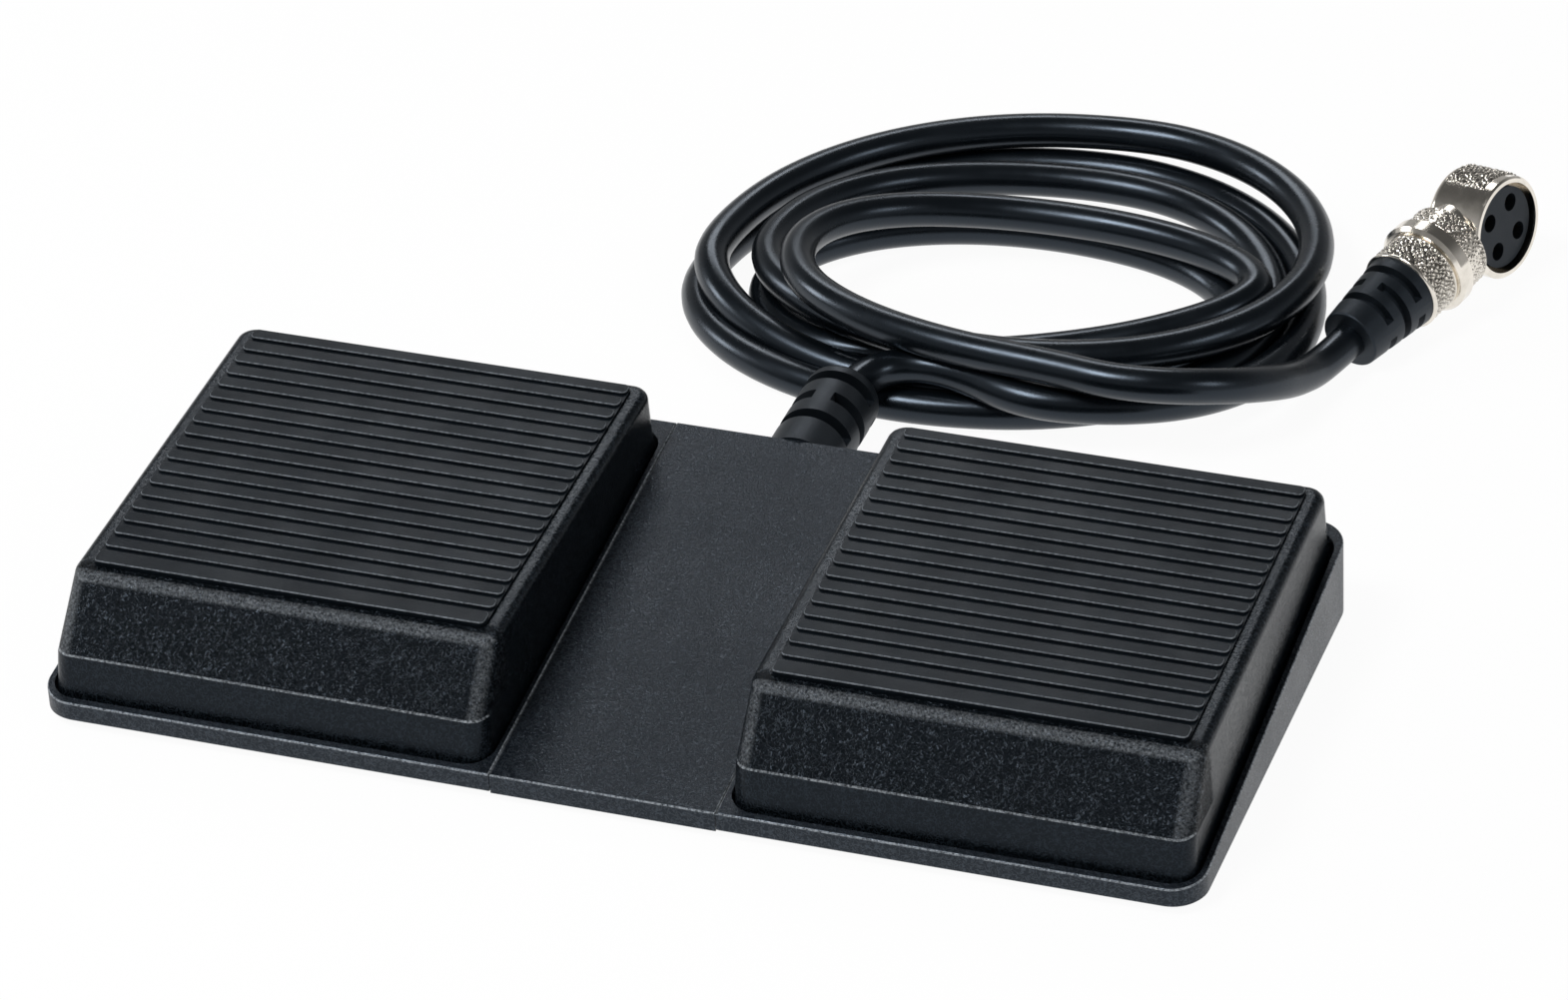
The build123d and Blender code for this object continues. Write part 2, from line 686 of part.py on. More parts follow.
def stop_height():
    """Shell height of the boss that lands on the bumper at full travel."""
    bumper_top = FLOOR_THICK + BUMPER_HEIGHT
    reach = BUMPER_SETBACK + STOP_BOSS_RADIUS - HINGE_SETBACK
    return bumper_top + reach * math.tan(TRAVEL_RADIANS) + STOP_GAP


def pedal_insides():
    """Ears, spigots, catches, stop and presser that hang from the pedal's underside."""
    high = TOP_BACK_HEIGHT + CUT
    pieces = []
    for side in (-1, 1):
        far = MIDDLE_X + side * (HINGE_POST_OFFSET - HINGE_SIDE_PLAY)
        near = far - side * HINGE_POST_WIDTH
        x_range = (min(near, far), max(near, far))
        y = back(HINGE_SETBACK)
        pieces.append(rod_x(x_range, y, up(HINGE_HEIGHT), HINGE_BOSS_RADIUS))
        y_range = (y - HINGE_BOSS_RADIUS, y + HINGE_BOSS_RADIUS)
        pieces.append(block(x_range, y_range, (up(HINGE_HEIGHT), up(high))))
        spring_x = MIDDLE_X + side * SPRING_OFFSET
        low = inner_top(SPRING_SETBACK) - SPIGOT_HEIGHT
        pieces.append(rod_z(spring_x, back(SPRING_SETBACK), (up(low), up(high)), SPIGOT_RADIUS))
        catch_x = MIDDLE_X + side * CATCH_OFFSET
        x_range = (catch_x - CATCH_WIDTH / 2, catch_x + CATCH_WIDTH / 2)
        foot_top = CATCH_HEAD_BOTTOM - CATCH_GAP
        foot_low = foot_top - CATCH_FOOT_THICK
        arm_back = CATCH_POST_FRONT - CATCH_HEAD_REACH - CATCH_ARM_GAP
        foot_back = CATCH_POST_FRONT - CATCH_FOOT_GAP
        pieces.append(side_prism(
            [
                (arm_back - CATCH_ARM_THICK, foot_low),
                (foot_back, foot_low),
                (foot_back, foot_top),
                (arm_back, foot_top),
                (arm_back, high),
                (arm_back - CATCH_ARM_THICK, high),
            ],
            x_range,
        ))
    stop = (up(stop_height()), up(high))
    pieces.append(rod_z(MIDDLE_X, back(BUMPER_SETBACK), stop, STOP_BOSS_RADIUS))
    setback, height = presser_place()
    x_range = (MIDDLE_X - PRESSER_WIDTH / 2, MIDDLE_X + PRESSER_WIDTH / 2)
    pieces.append(rod_x(x_range, back(setback), up(height), PRESSER_RADIUS))
    y_range = (back(setback) - PRESSER_RADIUS, back(setback) + PRESSER_RADIUS)
    pieces.append(block(x_range, y_range, (up(height), up(high))))
    return pieces


def make_pedal():
    """Right-hand pedal shell, open below."""
    form = pedal_form(0, 0, PEDAL_CORNER)
    top = form.faces().sort_by(Axis.Z)[-1]
    shell = fillet(top.edges(), PEDAL_TOP_ROUND)
    crease = [
        edge for edge in shell.edges()
        if abs(edge.center().Z - up(SKIRT_TOP)) < PEDAL_WALL
        and abs((edge @ 0 - edge @ 1).Z) < PEDAL_WALL
        and edge.center().Y < back(TOP_FRONT)
    ]
    shell = fillet(crease, BREAK_ROUND)
    shell -= pedal_form(PEDAL_WALL, SKIRT_TOP, PEDAL_CORNER - PEDAL_WALL)
    for piece in pedal_insides():
        shell += piece & form
    bore = (MIDDLE_X - HINGE_POST_OFFSET, MIDDLE_X + HINGE_POST_OFFSET)
    shell -= rod_x(bore, back(HINGE_SETBACK), up(HINGE_HEIGHT), HINGE_PIN_RADIUS + HINGE_RUNNING_FIT)
    shell -= block(
        (SEAM_X, SEAM_X + SEAM_RIM + SIDE_GAP + PEDAL_WALL + CUT),
        (back(LEAD_SLOT_FRONT - LEAD_NOTCH_SIDE), back(LEAD_SLOT_BACK + LEAD_NOTCH_SIDE)),
        (up(0), up(lead_notch_top())),
    )
    shell -= tread_sheet()
    return shell


# Treads

def tread_plane():
    """Plane on the pedal's top face, at the tread's front edge, with its Y up the slope."""
    slope = math.radians(TOP_SLOPE)
    setback = TOP_FRONT + TREAD_FRONT_BORDER
    origin = (tread_middle(), back(setback), up(top_height(setback)))
    return Plane(origin=origin, x_dir=(1, 0, 0), z_dir=(0, -math.sin(slope), math.cos(slope)))


def tread_middle():
    inner = SEAM_X + SEAM_RIM + SIDE_GAP + SEAM_LEAN
    outer = OUTER_X - OUTER_RIM - SIDE_GAP - OUTER_LEAN
    return (inner + outer) / 2


def tread_width():
    inner = SEAM_X + SEAM_RIM + SIDE_GAP + SEAM_LEAN
    outer = OUTER_X - OUTER_RIM - SIDE_GAP - OUTER_LEAN
    return outer - inner - 2 * TREAD_SIDE_BORDER


def tread_length():
    level = TOP_BACK - TOP_FRONT - TREAD_FRONT_BORDER - TREAD_BACK_BORDER
    return level / math.cos(math.radians(TOP_SLOPE))


def rib_width():
    """Width of each rib after the front one."""
    rest = tread_length() - 2 * RIB_INSET - FRONT_RIB_WIDTH - (RIB_COUNT - 1) * GROOVE_WIDTH
    return rest / (RIB_COUNT - 1)


def tread_slab(inset, y_range, z_range, corner):
    """Slab on the tread's plane, narrower than the tread by an inset on each side."""
    outline = RectangleRounded(tread_width() - 2 * inset, y_range[1] - y_range[0], corner)
    placed = Pos(0, sum(y_range) / 2, z_range[0]) * outline
    return tread_plane() * extrude(placed, amount=z_range[1] - z_range[0])


def tread_sheet():
    """Base of the tread, which fills a recess in the pedal's top and stands a little proud of it."""
    return tread_slab(0, (0, tread_length()), (-TREAD_SHEET, TREAD_PROUD), TREAD_CORNER)


def make_tread():
    """Rubber tread with ribs across its width, the front one wider."""
    tread = tread_sheet()
    uphill = tread_plane().z_dir
    rib_range = (TREAD_PROUD - RIB_ROOT, TREAD_PROUD + RIB_HEIGHT)
    start = RIB_INSET
    for number in range(RIB_COUNT):
        width = FRONT_RIB_WIDTH if number == 0 else rib_width()
        rib = tread_slab(RIB_INSET, (start, start + width), rib_range, RIB_CORNER)
        crown = max(rib.faces(), key=lambda face: face.center().dot(uphill))
        tread += fillet(crown.edges(), RIB_ROUND)
        start += width + GROOVE_WIDTH
    return tread


# Hinge pins, clips, springs and bumpers

def make_pin():
    reach = HINGE_POST_OFFSET + HINGE_POST_WIDTH + CLIP_THICK + PIN_END
    x_range = (MIDDLE_X - reach, MIDDLE_X + reach)
    pin = rod_x(x_range, back(HINGE_SETBACK), up(HINGE_HEIGHT), HINGE_PIN_RADIUS)
    ends = pin.edges().filter_by(GeomType.CIRCLE)
    return chamfer(ends, PIN_CHAMFER)


def make_clips():
    """Open washers pushed onto the ends of the hinge pin."""
    clips = []
    for side in (-1, 1):
        near = MIDDLE_X + side * (HINGE_POST_OFFSET + HINGE_POST_WIDTH)
        far = near + side * CLIP_THICK
        x_range = (min(near, far), max(near, far))
        y, z = back(HINGE_SETBACK), up(HINGE_HEIGHT)
        clip = rod_x(x_range, y, z, CLIP_RADIUS)
        clip -= rod_x(x_range, y, z, HINGE_PIN_RADIUS + HINGE_PRESS_FIT)
        clip -= block(x_range, (y - CLIP_MOUTH / 2, y + CLIP_MOUTH / 2), (z, z + CLIP_RADIUS + CUT))
        clips.append(clip)
    return joined(clips)


def make_springs():
    """Two compression springs between the tray's floor and the pedal's top."""
    springs = []
    low = FLOOR_THICK + SPRING_WIRE_RADIUS + SPRING_END_GAP
    high = inner_top(SPRING_SETBACK - SPRING_OUTER_RADIUS) - SPRING_WIRE_RADIUS - SPRING_END_GAP
    radius = SPRING_OUTER_RADIUS - SPRING_WIRE_RADIUS
    for side in (-1, 1):
        foot = (MIDDLE_X + side * SPRING_OFFSET, back(SPRING_SETBACK), up(low))
        coil = Helix(pitch=(high - low) / SPRING_TURNS, height=high - low, radius=radius)
        wire = Plane(origin=coil @ 0, z_dir=coil % 0) * Circle(SPRING_WIRE_RADIUS)
        springs.append(Pos(*foot) * sweep(wire, path=coil, is_frenet=True))
    return joined(springs)


def make_bumper():
    low = up(FLOOR_THICK)
    bumper = rod_z(MIDDLE_X, back(BUMPER_SETBACK), (low, low + BUMPER_HEIGHT), BUMPER_RADIUS)
    return fillet(bumper.faces().sort_by(Axis.Z)[-1].edges(), BUMPER_ROUND)


# Switches

def button_place():
    """Setback and shell height of the button's round tip, just under the lever."""
    angle = math.radians(LEVER_REST_ANGLE)
    clear = BUTTON_RADIUS + BUTTON_GAP + LEVER_THICK / 2
    rise = (BUTTON_REACH * math.sin(angle) - clear) / math.cos(angle)
    return lever_hinge()[0] + BUTTON_REACH, lever_hinge()[1] + rise


def make_switch_case():
    x_range = (MIDDLE_X - SWITCH_WIDTH / 2, MIDDLE_X + SWITCH_WIDTH / 2)
    y_range = (back(SWITCH_SETBACK), back(SWITCH_SETBACK + SWITCH_LENGTH))
    top = SWITCH_BOTTOM + SWITCH_HEIGHT
    case = block(x_range, y_range, (up(SWITCH_BOTTOM), up(top)))
    case = fillet(case.edges().filter_by(Axis.X), SWITCH_ROUND)
    for setback in switch_screw_setbacks():
        case -= rod_x(x_range, back(setback), switch_screw_height(), SWITCH_SCREW_RADIUS)
    hinge_y, hinge_z = back(lever_hinge()[0]), up(lever_hinge()[1])
    for side in (-1, 1):
        near = MIDDLE_X + side * (LEVER_WIDTH / 2 + LEVER_SIDE_PLAY)
        far = near + side * LEVER_EAR_THICK
        ear = (min(near, far), max(near, far))
        y_range = (hinge_y - LEVER_EAR_HALF, hinge_y + LEVER_EAR_HALF)
        case += block(ear, y_range, (up(top) - POST_ROOT, hinge_z + LEVER_EAR_RISE))
    reach = LEVER_WIDTH / 2 + LEVER_SIDE_PLAY + LEVER_EAR_THICK
    case += rod_x((MIDDLE_X - reach, MIDDLE_X + reach), hinge_y, hinge_z, LEVER_PIN_RADIUS)
    setback, height = button_place()
    half = BUTTON_RADIUS + BUTTON_SLOT_PLAY
    case -= block(
        (MIDDLE_X - BUTTON_WIDTH / 2 - BUTTON_SLOT_PLAY, MIDDLE_X + BUTTON_WIDTH / 2 + BUTTON_SLOT_PLAY),
        (back(setback) - half, back(setback) + half),
        (up(height - BUTTON_STEM - BUTTON_TRAVEL - BUTTON_END_PLAY), up(top) + CUT),
    )
    return case


def make_switch_lever():
    """Thin sprung lever, drawn level and then tilted up to its rest angle."""
    hinge_y, hinge_z = back(lever_hinge()[0]), up(lever_hinge()[1])
    x_range = (-LEVER_WIDTH / 2, LEVER_WIDTH / 2)
    blade = block(x_range, (0, LEVER_LENGTH), (-LEVER_THICK / 2, LEVER_THICK / 2))
    barrel = rod_x(x_range, 0, 0, LEVER_BARREL_RADIUS)
    lever = blade + barrel - rod_x(x_range, 0, 0, LEVER_PIN_RADIUS + HINGE_RUNNING_FIT)
    return Pos(MIDDLE_X, hinge_y, hinge_z) * Rot(LEVER_REST_ANGLE, 0, 0) * lever


def make_switch_button():
    setback, height = button_place()
    x_range = (MIDDLE_X - BUTTON_WIDTH / 2, MIDDLE_X + BUTTON_WIDTH / 2)
    y = back(setback)
    stem = block(x_range, (y - BUTTON_RADIUS, y + BUTTON_RADIUS), (up(height - BUTTON_STEM), up(height)))
    return stem + rod_x(x_range, y, up(height), BUTTON_RADIUS)


def terminal_setbacks():
    middle = SWITCH_SETBACK + SWITCH_LENGTH / 2
    return [middle - TERMINAL_PITCH, middle, middle + TERMINAL_PITCH]


def make_switch_terminals():
    low = up(SWITCH_BOTTOM - TERMINAL_LENGTH)
    blades = []
    for setback in terminal_setbacks():
        y = back(setback)
        blades.append(block(
            (MIDDLE_X - TERMINAL_THICK / 2, MIDDLE_X + TERMINAL_THICK / 2),
            (y - TERMINAL_WIDTH / 2, y + TERMINAL_WIDTH / 2),
            (low, up(SWITCH_BOTTOM)),
        ))
    return joined(blades)


def make_switch_screws():
    """Screws through the switch case into the tray's bracket."""
    screws = []
    left_face = MIDDLE_X - SWITCH_WIDTH / 2
    end = MIDDLE_X + SWITCH_WIDTH / 2 + SWITCH_BRACKET_THICK
    for setback in switch_screw_setbacks():
        y, z = back(setback), switch_screw_height()
        screw = rod_x((left_face, end), y, z, SWITCH_SCREW_RADIUS)
        screw += rod_x((left_face - SWITCH_SCREW_HEAD, left_face), y, z, SWITCH_SCREW_HEAD_RADIUS)
        slot_x = left_face - SWITCH_SCREW_HEAD
        screw -= block(
            (slot_x - CUT, slot_x + SWITCH_SCREW_SLOT_DEPTH),
            (y - SWITCH_SCREW_SLOT_WIDTH / 2, y + SWITCH_SCREW_SLOT_WIDTH / 2),
            (z - SWITCH_SCREW_HEAD_RADIUS - CUT, z + SWITCH_SCREW_HEAD_RADIUS + CUT),
        )
        screws.append(screw)
    return joined(screws)


# Bridge between the trays

def cover_ceiling(setback):
    """Shell height of the inside of the cover's top."""
    return shell_height(setback) - COVER_WALL


def floor_screw_places():
    """Centres and tip heights of the screws that hold the bridge's floor."""
    front_tip = cover_ceiling(FLOOR_SCREW_FRONT) - FRONT_TIP_GAP
    back_tip = cover_ceiling(FLOOR_SCREW_BACK) - BOSS_CEILING_GAP
    return [
        (0.0, back(FLOOR_SCREW_FRONT), front_tip),
        (CORD_OFFSET - FLOOR_SCREW_SPREAD, back(FLOOR_SCREW_BACK), back_tip),
        (CORD_OFFSET + FLOOR_SCREW_SPREAD, back(FLOOR_SCREW_BACK), back_tip),
    ]


def make_bridge_cover():
    """Sloping cover between the trays, open below, with bosses and the cord's cradle."""
    half = SEAM_X - SEAM_GAP
    x_range = (-half, half)
    wedge = [(0, 0), (BASE_DEPTH, 0), (BASE_DEPTH, BACK_HEIGHT), (0, LIP_HEIGHT)]
    body = side_prism(wedge, x_range)
    body = chamfer(body.faces().sort_by(Axis.Z)[-1].edges(), EDGE_ROUND / 2)
    form = side_prism(wedge, x_range)
    inside_back = BASE_DEPTH - GLAND_BACK_WALL
    body -= side_prism(
        [
            (COVER_WALL, -CUT),
            (inside_back, -CUT),
            (inside_back, cover_ceiling(inside_back)),
            (COVER_WALL, cover_ceiling(COVER_WALL)),
        ],
        (-half + COVER_WALL, half - COVER_WALL),
    )
    bosses = []
    for side in (-1, 1):
        for x, y in tie_screw_places():
            bosses.append(rod_z(side * x, y, (up(FLOOR_THICK), up(BACK_HEIGHT)), BOSS_RADIUS))
    for x, y, _ in floor_screw_places():
        bosses.append(rod_z(x, y, (up(FLOOR_THICK), up(BACK_HEIGHT)), BOSS_RADIUS))
    bosses.append(block(
        (CORD_OFFSET - CLAMP_HALF_LENGTH, CORD_OFFSET + CLAMP_HALF_LENGTH),
        (back(CLAMP_FRONT), back(CLAMP_FRONT + CLAMP_WIDTH)),
        (up(CORD_HEIGHT), up(BACK_HEIGHT)),
    ))
    for boss in bosses:
        body += boss & form
    groove = (back(CORD_TAIL_START - CORD_GROOVE_LEAD), BACK_Y - GLAND_BACK_WALL)
    body -= rod_y(CORD_OFFSET, groove, up(CORD_HEIGHT), CORD_RADIUS + CORD_FIT)
    wall = (BACK_Y - GLAND_BACK_WALL - CUT, BACK_Y + CUT)
    body -= rod_y(CORD_OFFSET, wall, up(CORD_HEIGHT), GLAND_NECK_RADIUS + GLAND_NECK_FIT)
    for side in (-1, 1):
        for (x, y), tip in zip(tie_screw_places(), tie_screw_tips()):
            body -= rod_z(side * x, y, (up(FLOOR_THICK) - CUT, up(tip)), SCREW_RADIUS)
        clamp_x = CORD_OFFSET + side * CLAMP_SCREW_OFFSET
        clamp_y = back(CLAMP_FRONT + CLAMP_WIDTH / 2)
        hole = (up(CORD_HEIGHT) - CUT, up(clamp_screw_tip()))
        body -= rod_z(clamp_x, clamp_y, hole, CLAMP_SCREW_RADIUS)
        slot = (side * (half - COVER_WALL - CUT), side * (half + CUT))
        body -= block(
            (min(slot), max(slot)),
            (back(LEAD_SLOT_FRONT), back(LEAD_SLOT_BACK)),
            (up(0) - CUT, up(FLOOR_THICK + LEAD_SLOT_HEIGHT)),
        )
        for setback in tongue_setbacks():
            reach = TONGUE_WIDTH / 2 + TONGUE_PLAY
            body -= block(
                (min(slot), max(slot)),
                (back(setback - reach), back(setback + reach)),
                (up(0) - CUT, up(FLOOR_THICK)),
            )
    for x, y, tip in floor_screw_places():
        body -= rod_z(x, y, (up(FLOOR_THICK) - CUT, up(tip)), SCREW_RADIUS)
    return body


def tie_screw_tips():
    return [
        cover_ceiling(TONGUE_FRONT) - FRONT_TIP_GAP,
        cover_ceiling(TONGUE_BACK) - BOSS_CEILING_GAP,
    ]


def clamp_screw_tip():
    """Shell height of the clamp screws' tips, in the cover's cradle."""
    return cover_ceiling(CLAMP_FRONT) - CLAMP_TIP_GAP


def make_bridge_floor():
    """Flat plate that closes the cover from below, notched round the trays' tongues."""
    half = SEAM_X - SEAM_GAP - COVER_WALL - BRIDGE_FLOOR_PLAY
    plate = block(
        (-half, half),
        (back(COVER_WALL + BRIDGE_FLOOR_PLAY), back(BASE_DEPTH - GLAND_BACK_WALL - BRIDGE_FLOOR_PLAY)),
        (up(0), up(FLOOR_THICK)),
    )
    for side in (-1, 1):
        for setback in tongue_setbacks():
            reach = TONGUE_WIDTH / 2 + TONGUE_PLAY
            notch = (side * (SEAM_X - TONGUE_REACH - TONGUE_PLAY), side * SEAM_X)
            plate -= block(
                (min(notch), max(notch)),
                (back(setback - reach), back(setback + reach)),
                (up(0) - CUT, up(FLOOR_THICK) + CUT),
            )
    for x, y, _ in floor_screw_places():
        plate -= countersunk_hole(x, y)
    return plate


def make_tie_screws():
    screws = []
    for side in (-1, 1):
        for (x, y), tip in zip(tie_screw_places(), tie_screw_tips()):
            screws.append(floor_screw(side * x, y, tip))
    return joined(screws)


def make_floor_screws():
    return joined([floor_screw(x, y, tip) for x, y, tip in floor_screw_places()])


# Wiring

def pole_places():
    first = -POLE_PITCH * (POLE_COUNT - 1) / 2
    return [first + number * POLE_PITCH for number in range(POLE_COUNT)]


def block_screw_rows():
    return [BLOCK_SETBACK + POLE_SCREW_SETIN, BLOCK_SETBACK + BLOCK_WIDTH - POLE_SCREW_SETIN]


def make_terminal_block():
    body = block(
        (-BLOCK_LENGTH / 2, BLOCK_LENGTH / 2),
        (back(BLOCK_SETBACK), back(BLOCK_SETBACK + BLOCK_WIDTH)),
        (up(FLOOR_THICK), up(FLOOR_THICK + BLOCK_HEIGHT)),
    )
    body = fillet(body.edges().filter_by(Axis.Z), BLOCK_ROUND)
    top = up(FLOOR_THICK + BLOCK_HEIGHT)
    for x in pole_places():
        for setback in block_screw_rows():
            body -= rod_z(x, back(setback), (top - POLE_SCREW_HEIGHT, top + CUT), POLE_SCREW_RADIUS)
    return body


def make_terminal_screws():
    top = up(FLOOR_THICK + BLOCK_HEIGHT)
    screws = []
    for x in pole_places():
        for setback in block_screw_rows():
            y = back(setback)
            head_top = top - POLE_SCREW_SINK
            head = rod_z(x, y, (top - POLE_SCREW_HEIGHT, head_top), POLE_SCREW_RADIUS)
            slot = Box(2 * POLE_SCREW_RADIUS, POLE_SCREW_SLOT, 2 * POLE_SCREW_SLOT_DEPTH)
            head -= Pos(x, y, head_top) * slot
            screws.append(head)
    return joined(screws)


def make_leads():
    """Two wires from the right-hand switch to the terminal block."""
    z = up(LEAD_HEIGHT)
    start_x = MIDDLE_X - TERMINAL_THICK / 2
    slot_middle = (LEAD_SLOT_FRONT + LEAD_SLOT_BACK) / 2
    slot_reach = SEAM_X + SEAM_RIM + SIDE_GAP + PEDAL_WALL + LEAD_INSIDE_RUN
    poles = pole_places()[POLE_COUNT // 2:]
    setbacks = (terminal_setbacks()[0], terminal_setbacks()[-1])
    wires = []
    sides = (-LEAD_SPACING / 2, LEAD_SPACING / 2)
    for pole, terminal, side, end_shift in zip(poles, setbacks, sides, LEAD_END_SHIFTS):
        slot_y = back(slot_middle + side)
        points = [
            (start_x, back(terminal), z),
            (start_x - LEAD_START_RUN, back(terminal), z),
            (slot_reach, slot_y, z),
            (pole + LEAD_END_RUN, slot_y, z),
            (pole, slot_y + end_shift, z),
            (pole, back(BLOCK_SETBACK), z),
        ]
        wires.append(tube_along(points, LEAD_RADIUS)[0])
    return joined(wires)


def make_cord_clamp():
    """Bar that presses the cord up into the cover's cradle."""
    y_range = (back(CLAMP_FRONT), back(CLAMP_FRONT + CLAMP_WIDTH))
    x_range = (CORD_OFFSET - CLAMP_HALF_LENGTH, CORD_OFFSET + CLAMP_HALF_LENGTH)
    bar = block(x_range, y_range, (up(CLAMP_BAR_BOTTOM), up(CORD_HEIGHT - CLAMP_BAR_GAP)))
    groove = (y_range[0] - CUT, y_range[1] + CUT)
    bar -= rod_y(CORD_OFFSET, groove, up(CORD_HEIGHT), CORD_RADIUS + CORD_FIT)
    for side in (-1, 1):
        x = CORD_OFFSET + side * CLAMP_SCREW_OFFSET
        z_range = (up(CLAMP_BAR_BOTTOM) - CUT, up(CORD_HEIGHT) + CUT)
        bar -= rod_z(x, sum(y_range) / 2, z_range, CLAMP_SCREW_RADIUS)
    return bar


def make_clamp_screws():
    screws = []
    y = back(CLAMP_FRONT + CLAMP_WIDTH / 2)
    low = up(CLAMP_BAR_BOTTOM)
    for side in (-1, 1):
        x = CORD_OFFSET + side * CLAMP_SCREW_OFFSET
        screw = rod_z(x, y, (low, up(clamp_screw_tip())), CLAMP_SCREW_RADIUS)
        screws.append(screw + rod_z(x, y, (low - SWITCH_SCREW_HEAD, low), SWITCH_SCREW_HEAD_RADIUS))
    return joined(screws)


def make_cord_tail():
    """Stretch of cord held by the clamp and the strain relief."""
    y_range = (back(CORD_TAIL_START), BACK_Y + GLAND_LENGTH)
    return rod_y(CORD_OFFSET, y_range, up(CORD_HEIGHT), CORD_RADIUS)


def make_conductors():
    """Four wires that fan out from the cord's end to the terminal block."""
    wires = []
    spread = CONDUCTOR_SPREAD
    starts = [(-spread, -spread), (-spread, spread), (spread, spread), (spread, -spread)]
    end_y = back(BLOCK_SETBACK + BLOCK_WIDTH)
    start_y = back(CORD_TAIL_START)
    for (dx, dz), pole in zip(starts, pole_places()):
        end_z = up(LEAD_HEIGHT + CONDUCTOR_RISE)
        points = [
            (CORD_OFFSET + dx, start_y, up(CORD_HEIGHT) + dz),
            (CORD_OFFSET + dx, start_y - CONDUCTOR_RUN, up(CORD_HEIGHT) + dz),
            (pole, end_y + CONDUCTOR_RUN, end_z),
            (pole, end_y, end_z),
        ]
        wires.append(tube_along(points, CONDUCTOR_RADIUS)[0])
    return joined(wires)


# Strain reliefs

def slotted_rows(body, first, pitch, count, width, depth, radius_at):
    """Cut rows of slots round a body on the local Z axis, each row turned a quarter from the last."""
    for row in range(count):
        low = first + row * pitch
        outer = radius_at(low) + CUT
        inner = radius_at(low + width) - depth
        ring = Pos(0, 0, low + width / 2) * (Cylinder(outer, width) - Cylinder(inner, width))
        bar = Box(3 * outer, SLOT_BRIDGE, 2 * width)
        if row % 2 == 1:
            bar = Rot(0, 0, 90) * bar
        body -= ring - Pos(0, 0, low + width / 2) * bar
    return body


def along_cord(solid, y):
    """Stand a solid drawn along local Z on the cord's axis, pointing away from the base."""
    return Pos(CORD_OFFSET, y, up(CORD_HEIGHT)) * Rot(-90, 0, 0) * solid


def make_cord_gland():
    """Slotted rubber strain relief with a neck in the back wall and a flange inside."""
    body = Pos(0, 0, GLAND_LENGTH / 2) * Cylinder(GLAND_RADIUS, GLAND_LENGTH)
    body = fillet(body.edges().sort_by(Axis.Z)[-1], GLAND_END_ROUND)
    body = slotted_rows(body, GLAND_FIRST_SLOT, GLAND_SLOT_PITCH, GLAND_ROWS,
                        GLAND_SLOT_WIDTH, GLAND_SLOT_DEPTH, lambda _: GLAND_RADIUS)
    neck = Pos(0, 0, -GLAND_BACK_WALL / 2) * Cylinder(GLAND_NECK_RADIUS, GLAND_BACK_WALL)
    flange_z = -GLAND_BACK_WALL - GLAND_FLANGE_THICK / 2
    ceiling = cover_ceiling(BASE_DEPTH - GLAND_BACK_WALL - GLAND_FLANGE_THICK)
    half_height = ceiling - CORD_HEIGHT - GLAND_FLANGE_GAP
    flange_size = (2 * GLAND_FLANGE_HALF_WIDTH, 2 * half_height, GLAND_FLANGE_THICK)
    body = body + neck + Pos(0, 0, flange_z) * Box(*flange_size)
    body -= Cylinder(CORD_RADIUS + CORD_FIT, 4 * GLAND_LENGTH)
    return along_cord(body, BACK_Y)


# Cord outside the base

def coil_oval(centre, half_length, half_width, turn):
    """Upright oval block as high as the coil."""
    oval = extrude(Ellipse(half_length, half_width), amount=COIL_FRONT_HEIGHT)
    return Pos(centre[0], centre[1], 0) * Rot(0, 0, turn) * oval


def make_coil():
    """Outer shape of the loose coil: a broad oval ring, higher at the front where turns cross."""
    ring = coil_oval(COIL_CENTRE, COIL_HALF_LENGTH, COIL_HALF_WIDTH, COIL_TURN)
    ring -= coil_oval(COIL_HOLE_CENTRE, COIL_HOLE_HALF_LENGTH, COIL_HOLE_HALF_WIDTH, COIL_HOLE_TURN)
    front = COIL_CENTRE[1] - COIL_HALF_LENGTH
    rear = COIL_CENTRE[1] + COIL_HALF_LENGTH
    middle = COIL_CENTRE[1] - COIL_HOLE_HALF_WIDTH
    corners = [
        (front, 0),
        (rear, 0),
        (rear, COIL_BACK_HEIGHT),
        (middle, COIL_MIDDLE_HEIGHT),
        (middle - COIL_RAMP, COIL_FRONT_HEIGHT),
        (front, COIL_FRONT_HEIGHT),
    ]
    low_x = COIL_CENTRE[0] - COIL_HALF_LENGTH
    face = make_face(Polyline(*[(low_x, y, z) for y, z in corners], close=True))
    ring = ring & extrude(face, amount=2 * COIL_HALF_LENGTH, dir=(1, 0, 0))
    ring -= make_plug_lead(CORD_RADIUS + COIL_POCKET)[0]
    ring -= rod_y(CORD_OFFSET, (front, CORD_LEAD_END), up(CORD_HEIGHT), CORD_RADIUS + COIL_POCKET)
    return ring


def make_cord_lead():
    """Short stretch of cord from the strain relief into the coil."""
    return rod_y(CORD_OFFSET, (BACK_Y + GLAND_LENGTH, CORD_LEAD_END), up(CORD_HEIGHT), CORD_RADIUS)


def make_plug_lead(radius):
    """Stretch of cord from the coil to the plug's boot, with its path and bend radii."""
    frame = plug_frame()
    before_boot = frame.origin - frame.z_dir * PLUG_LEAD_RUN
    points = PLUG_LEAD_POINTS + [tuple(before_boot), PLUG_PLACE]
    return tube_along(points, radius)


# Plug, drawn with its boot along local Z and its mouth towards local X

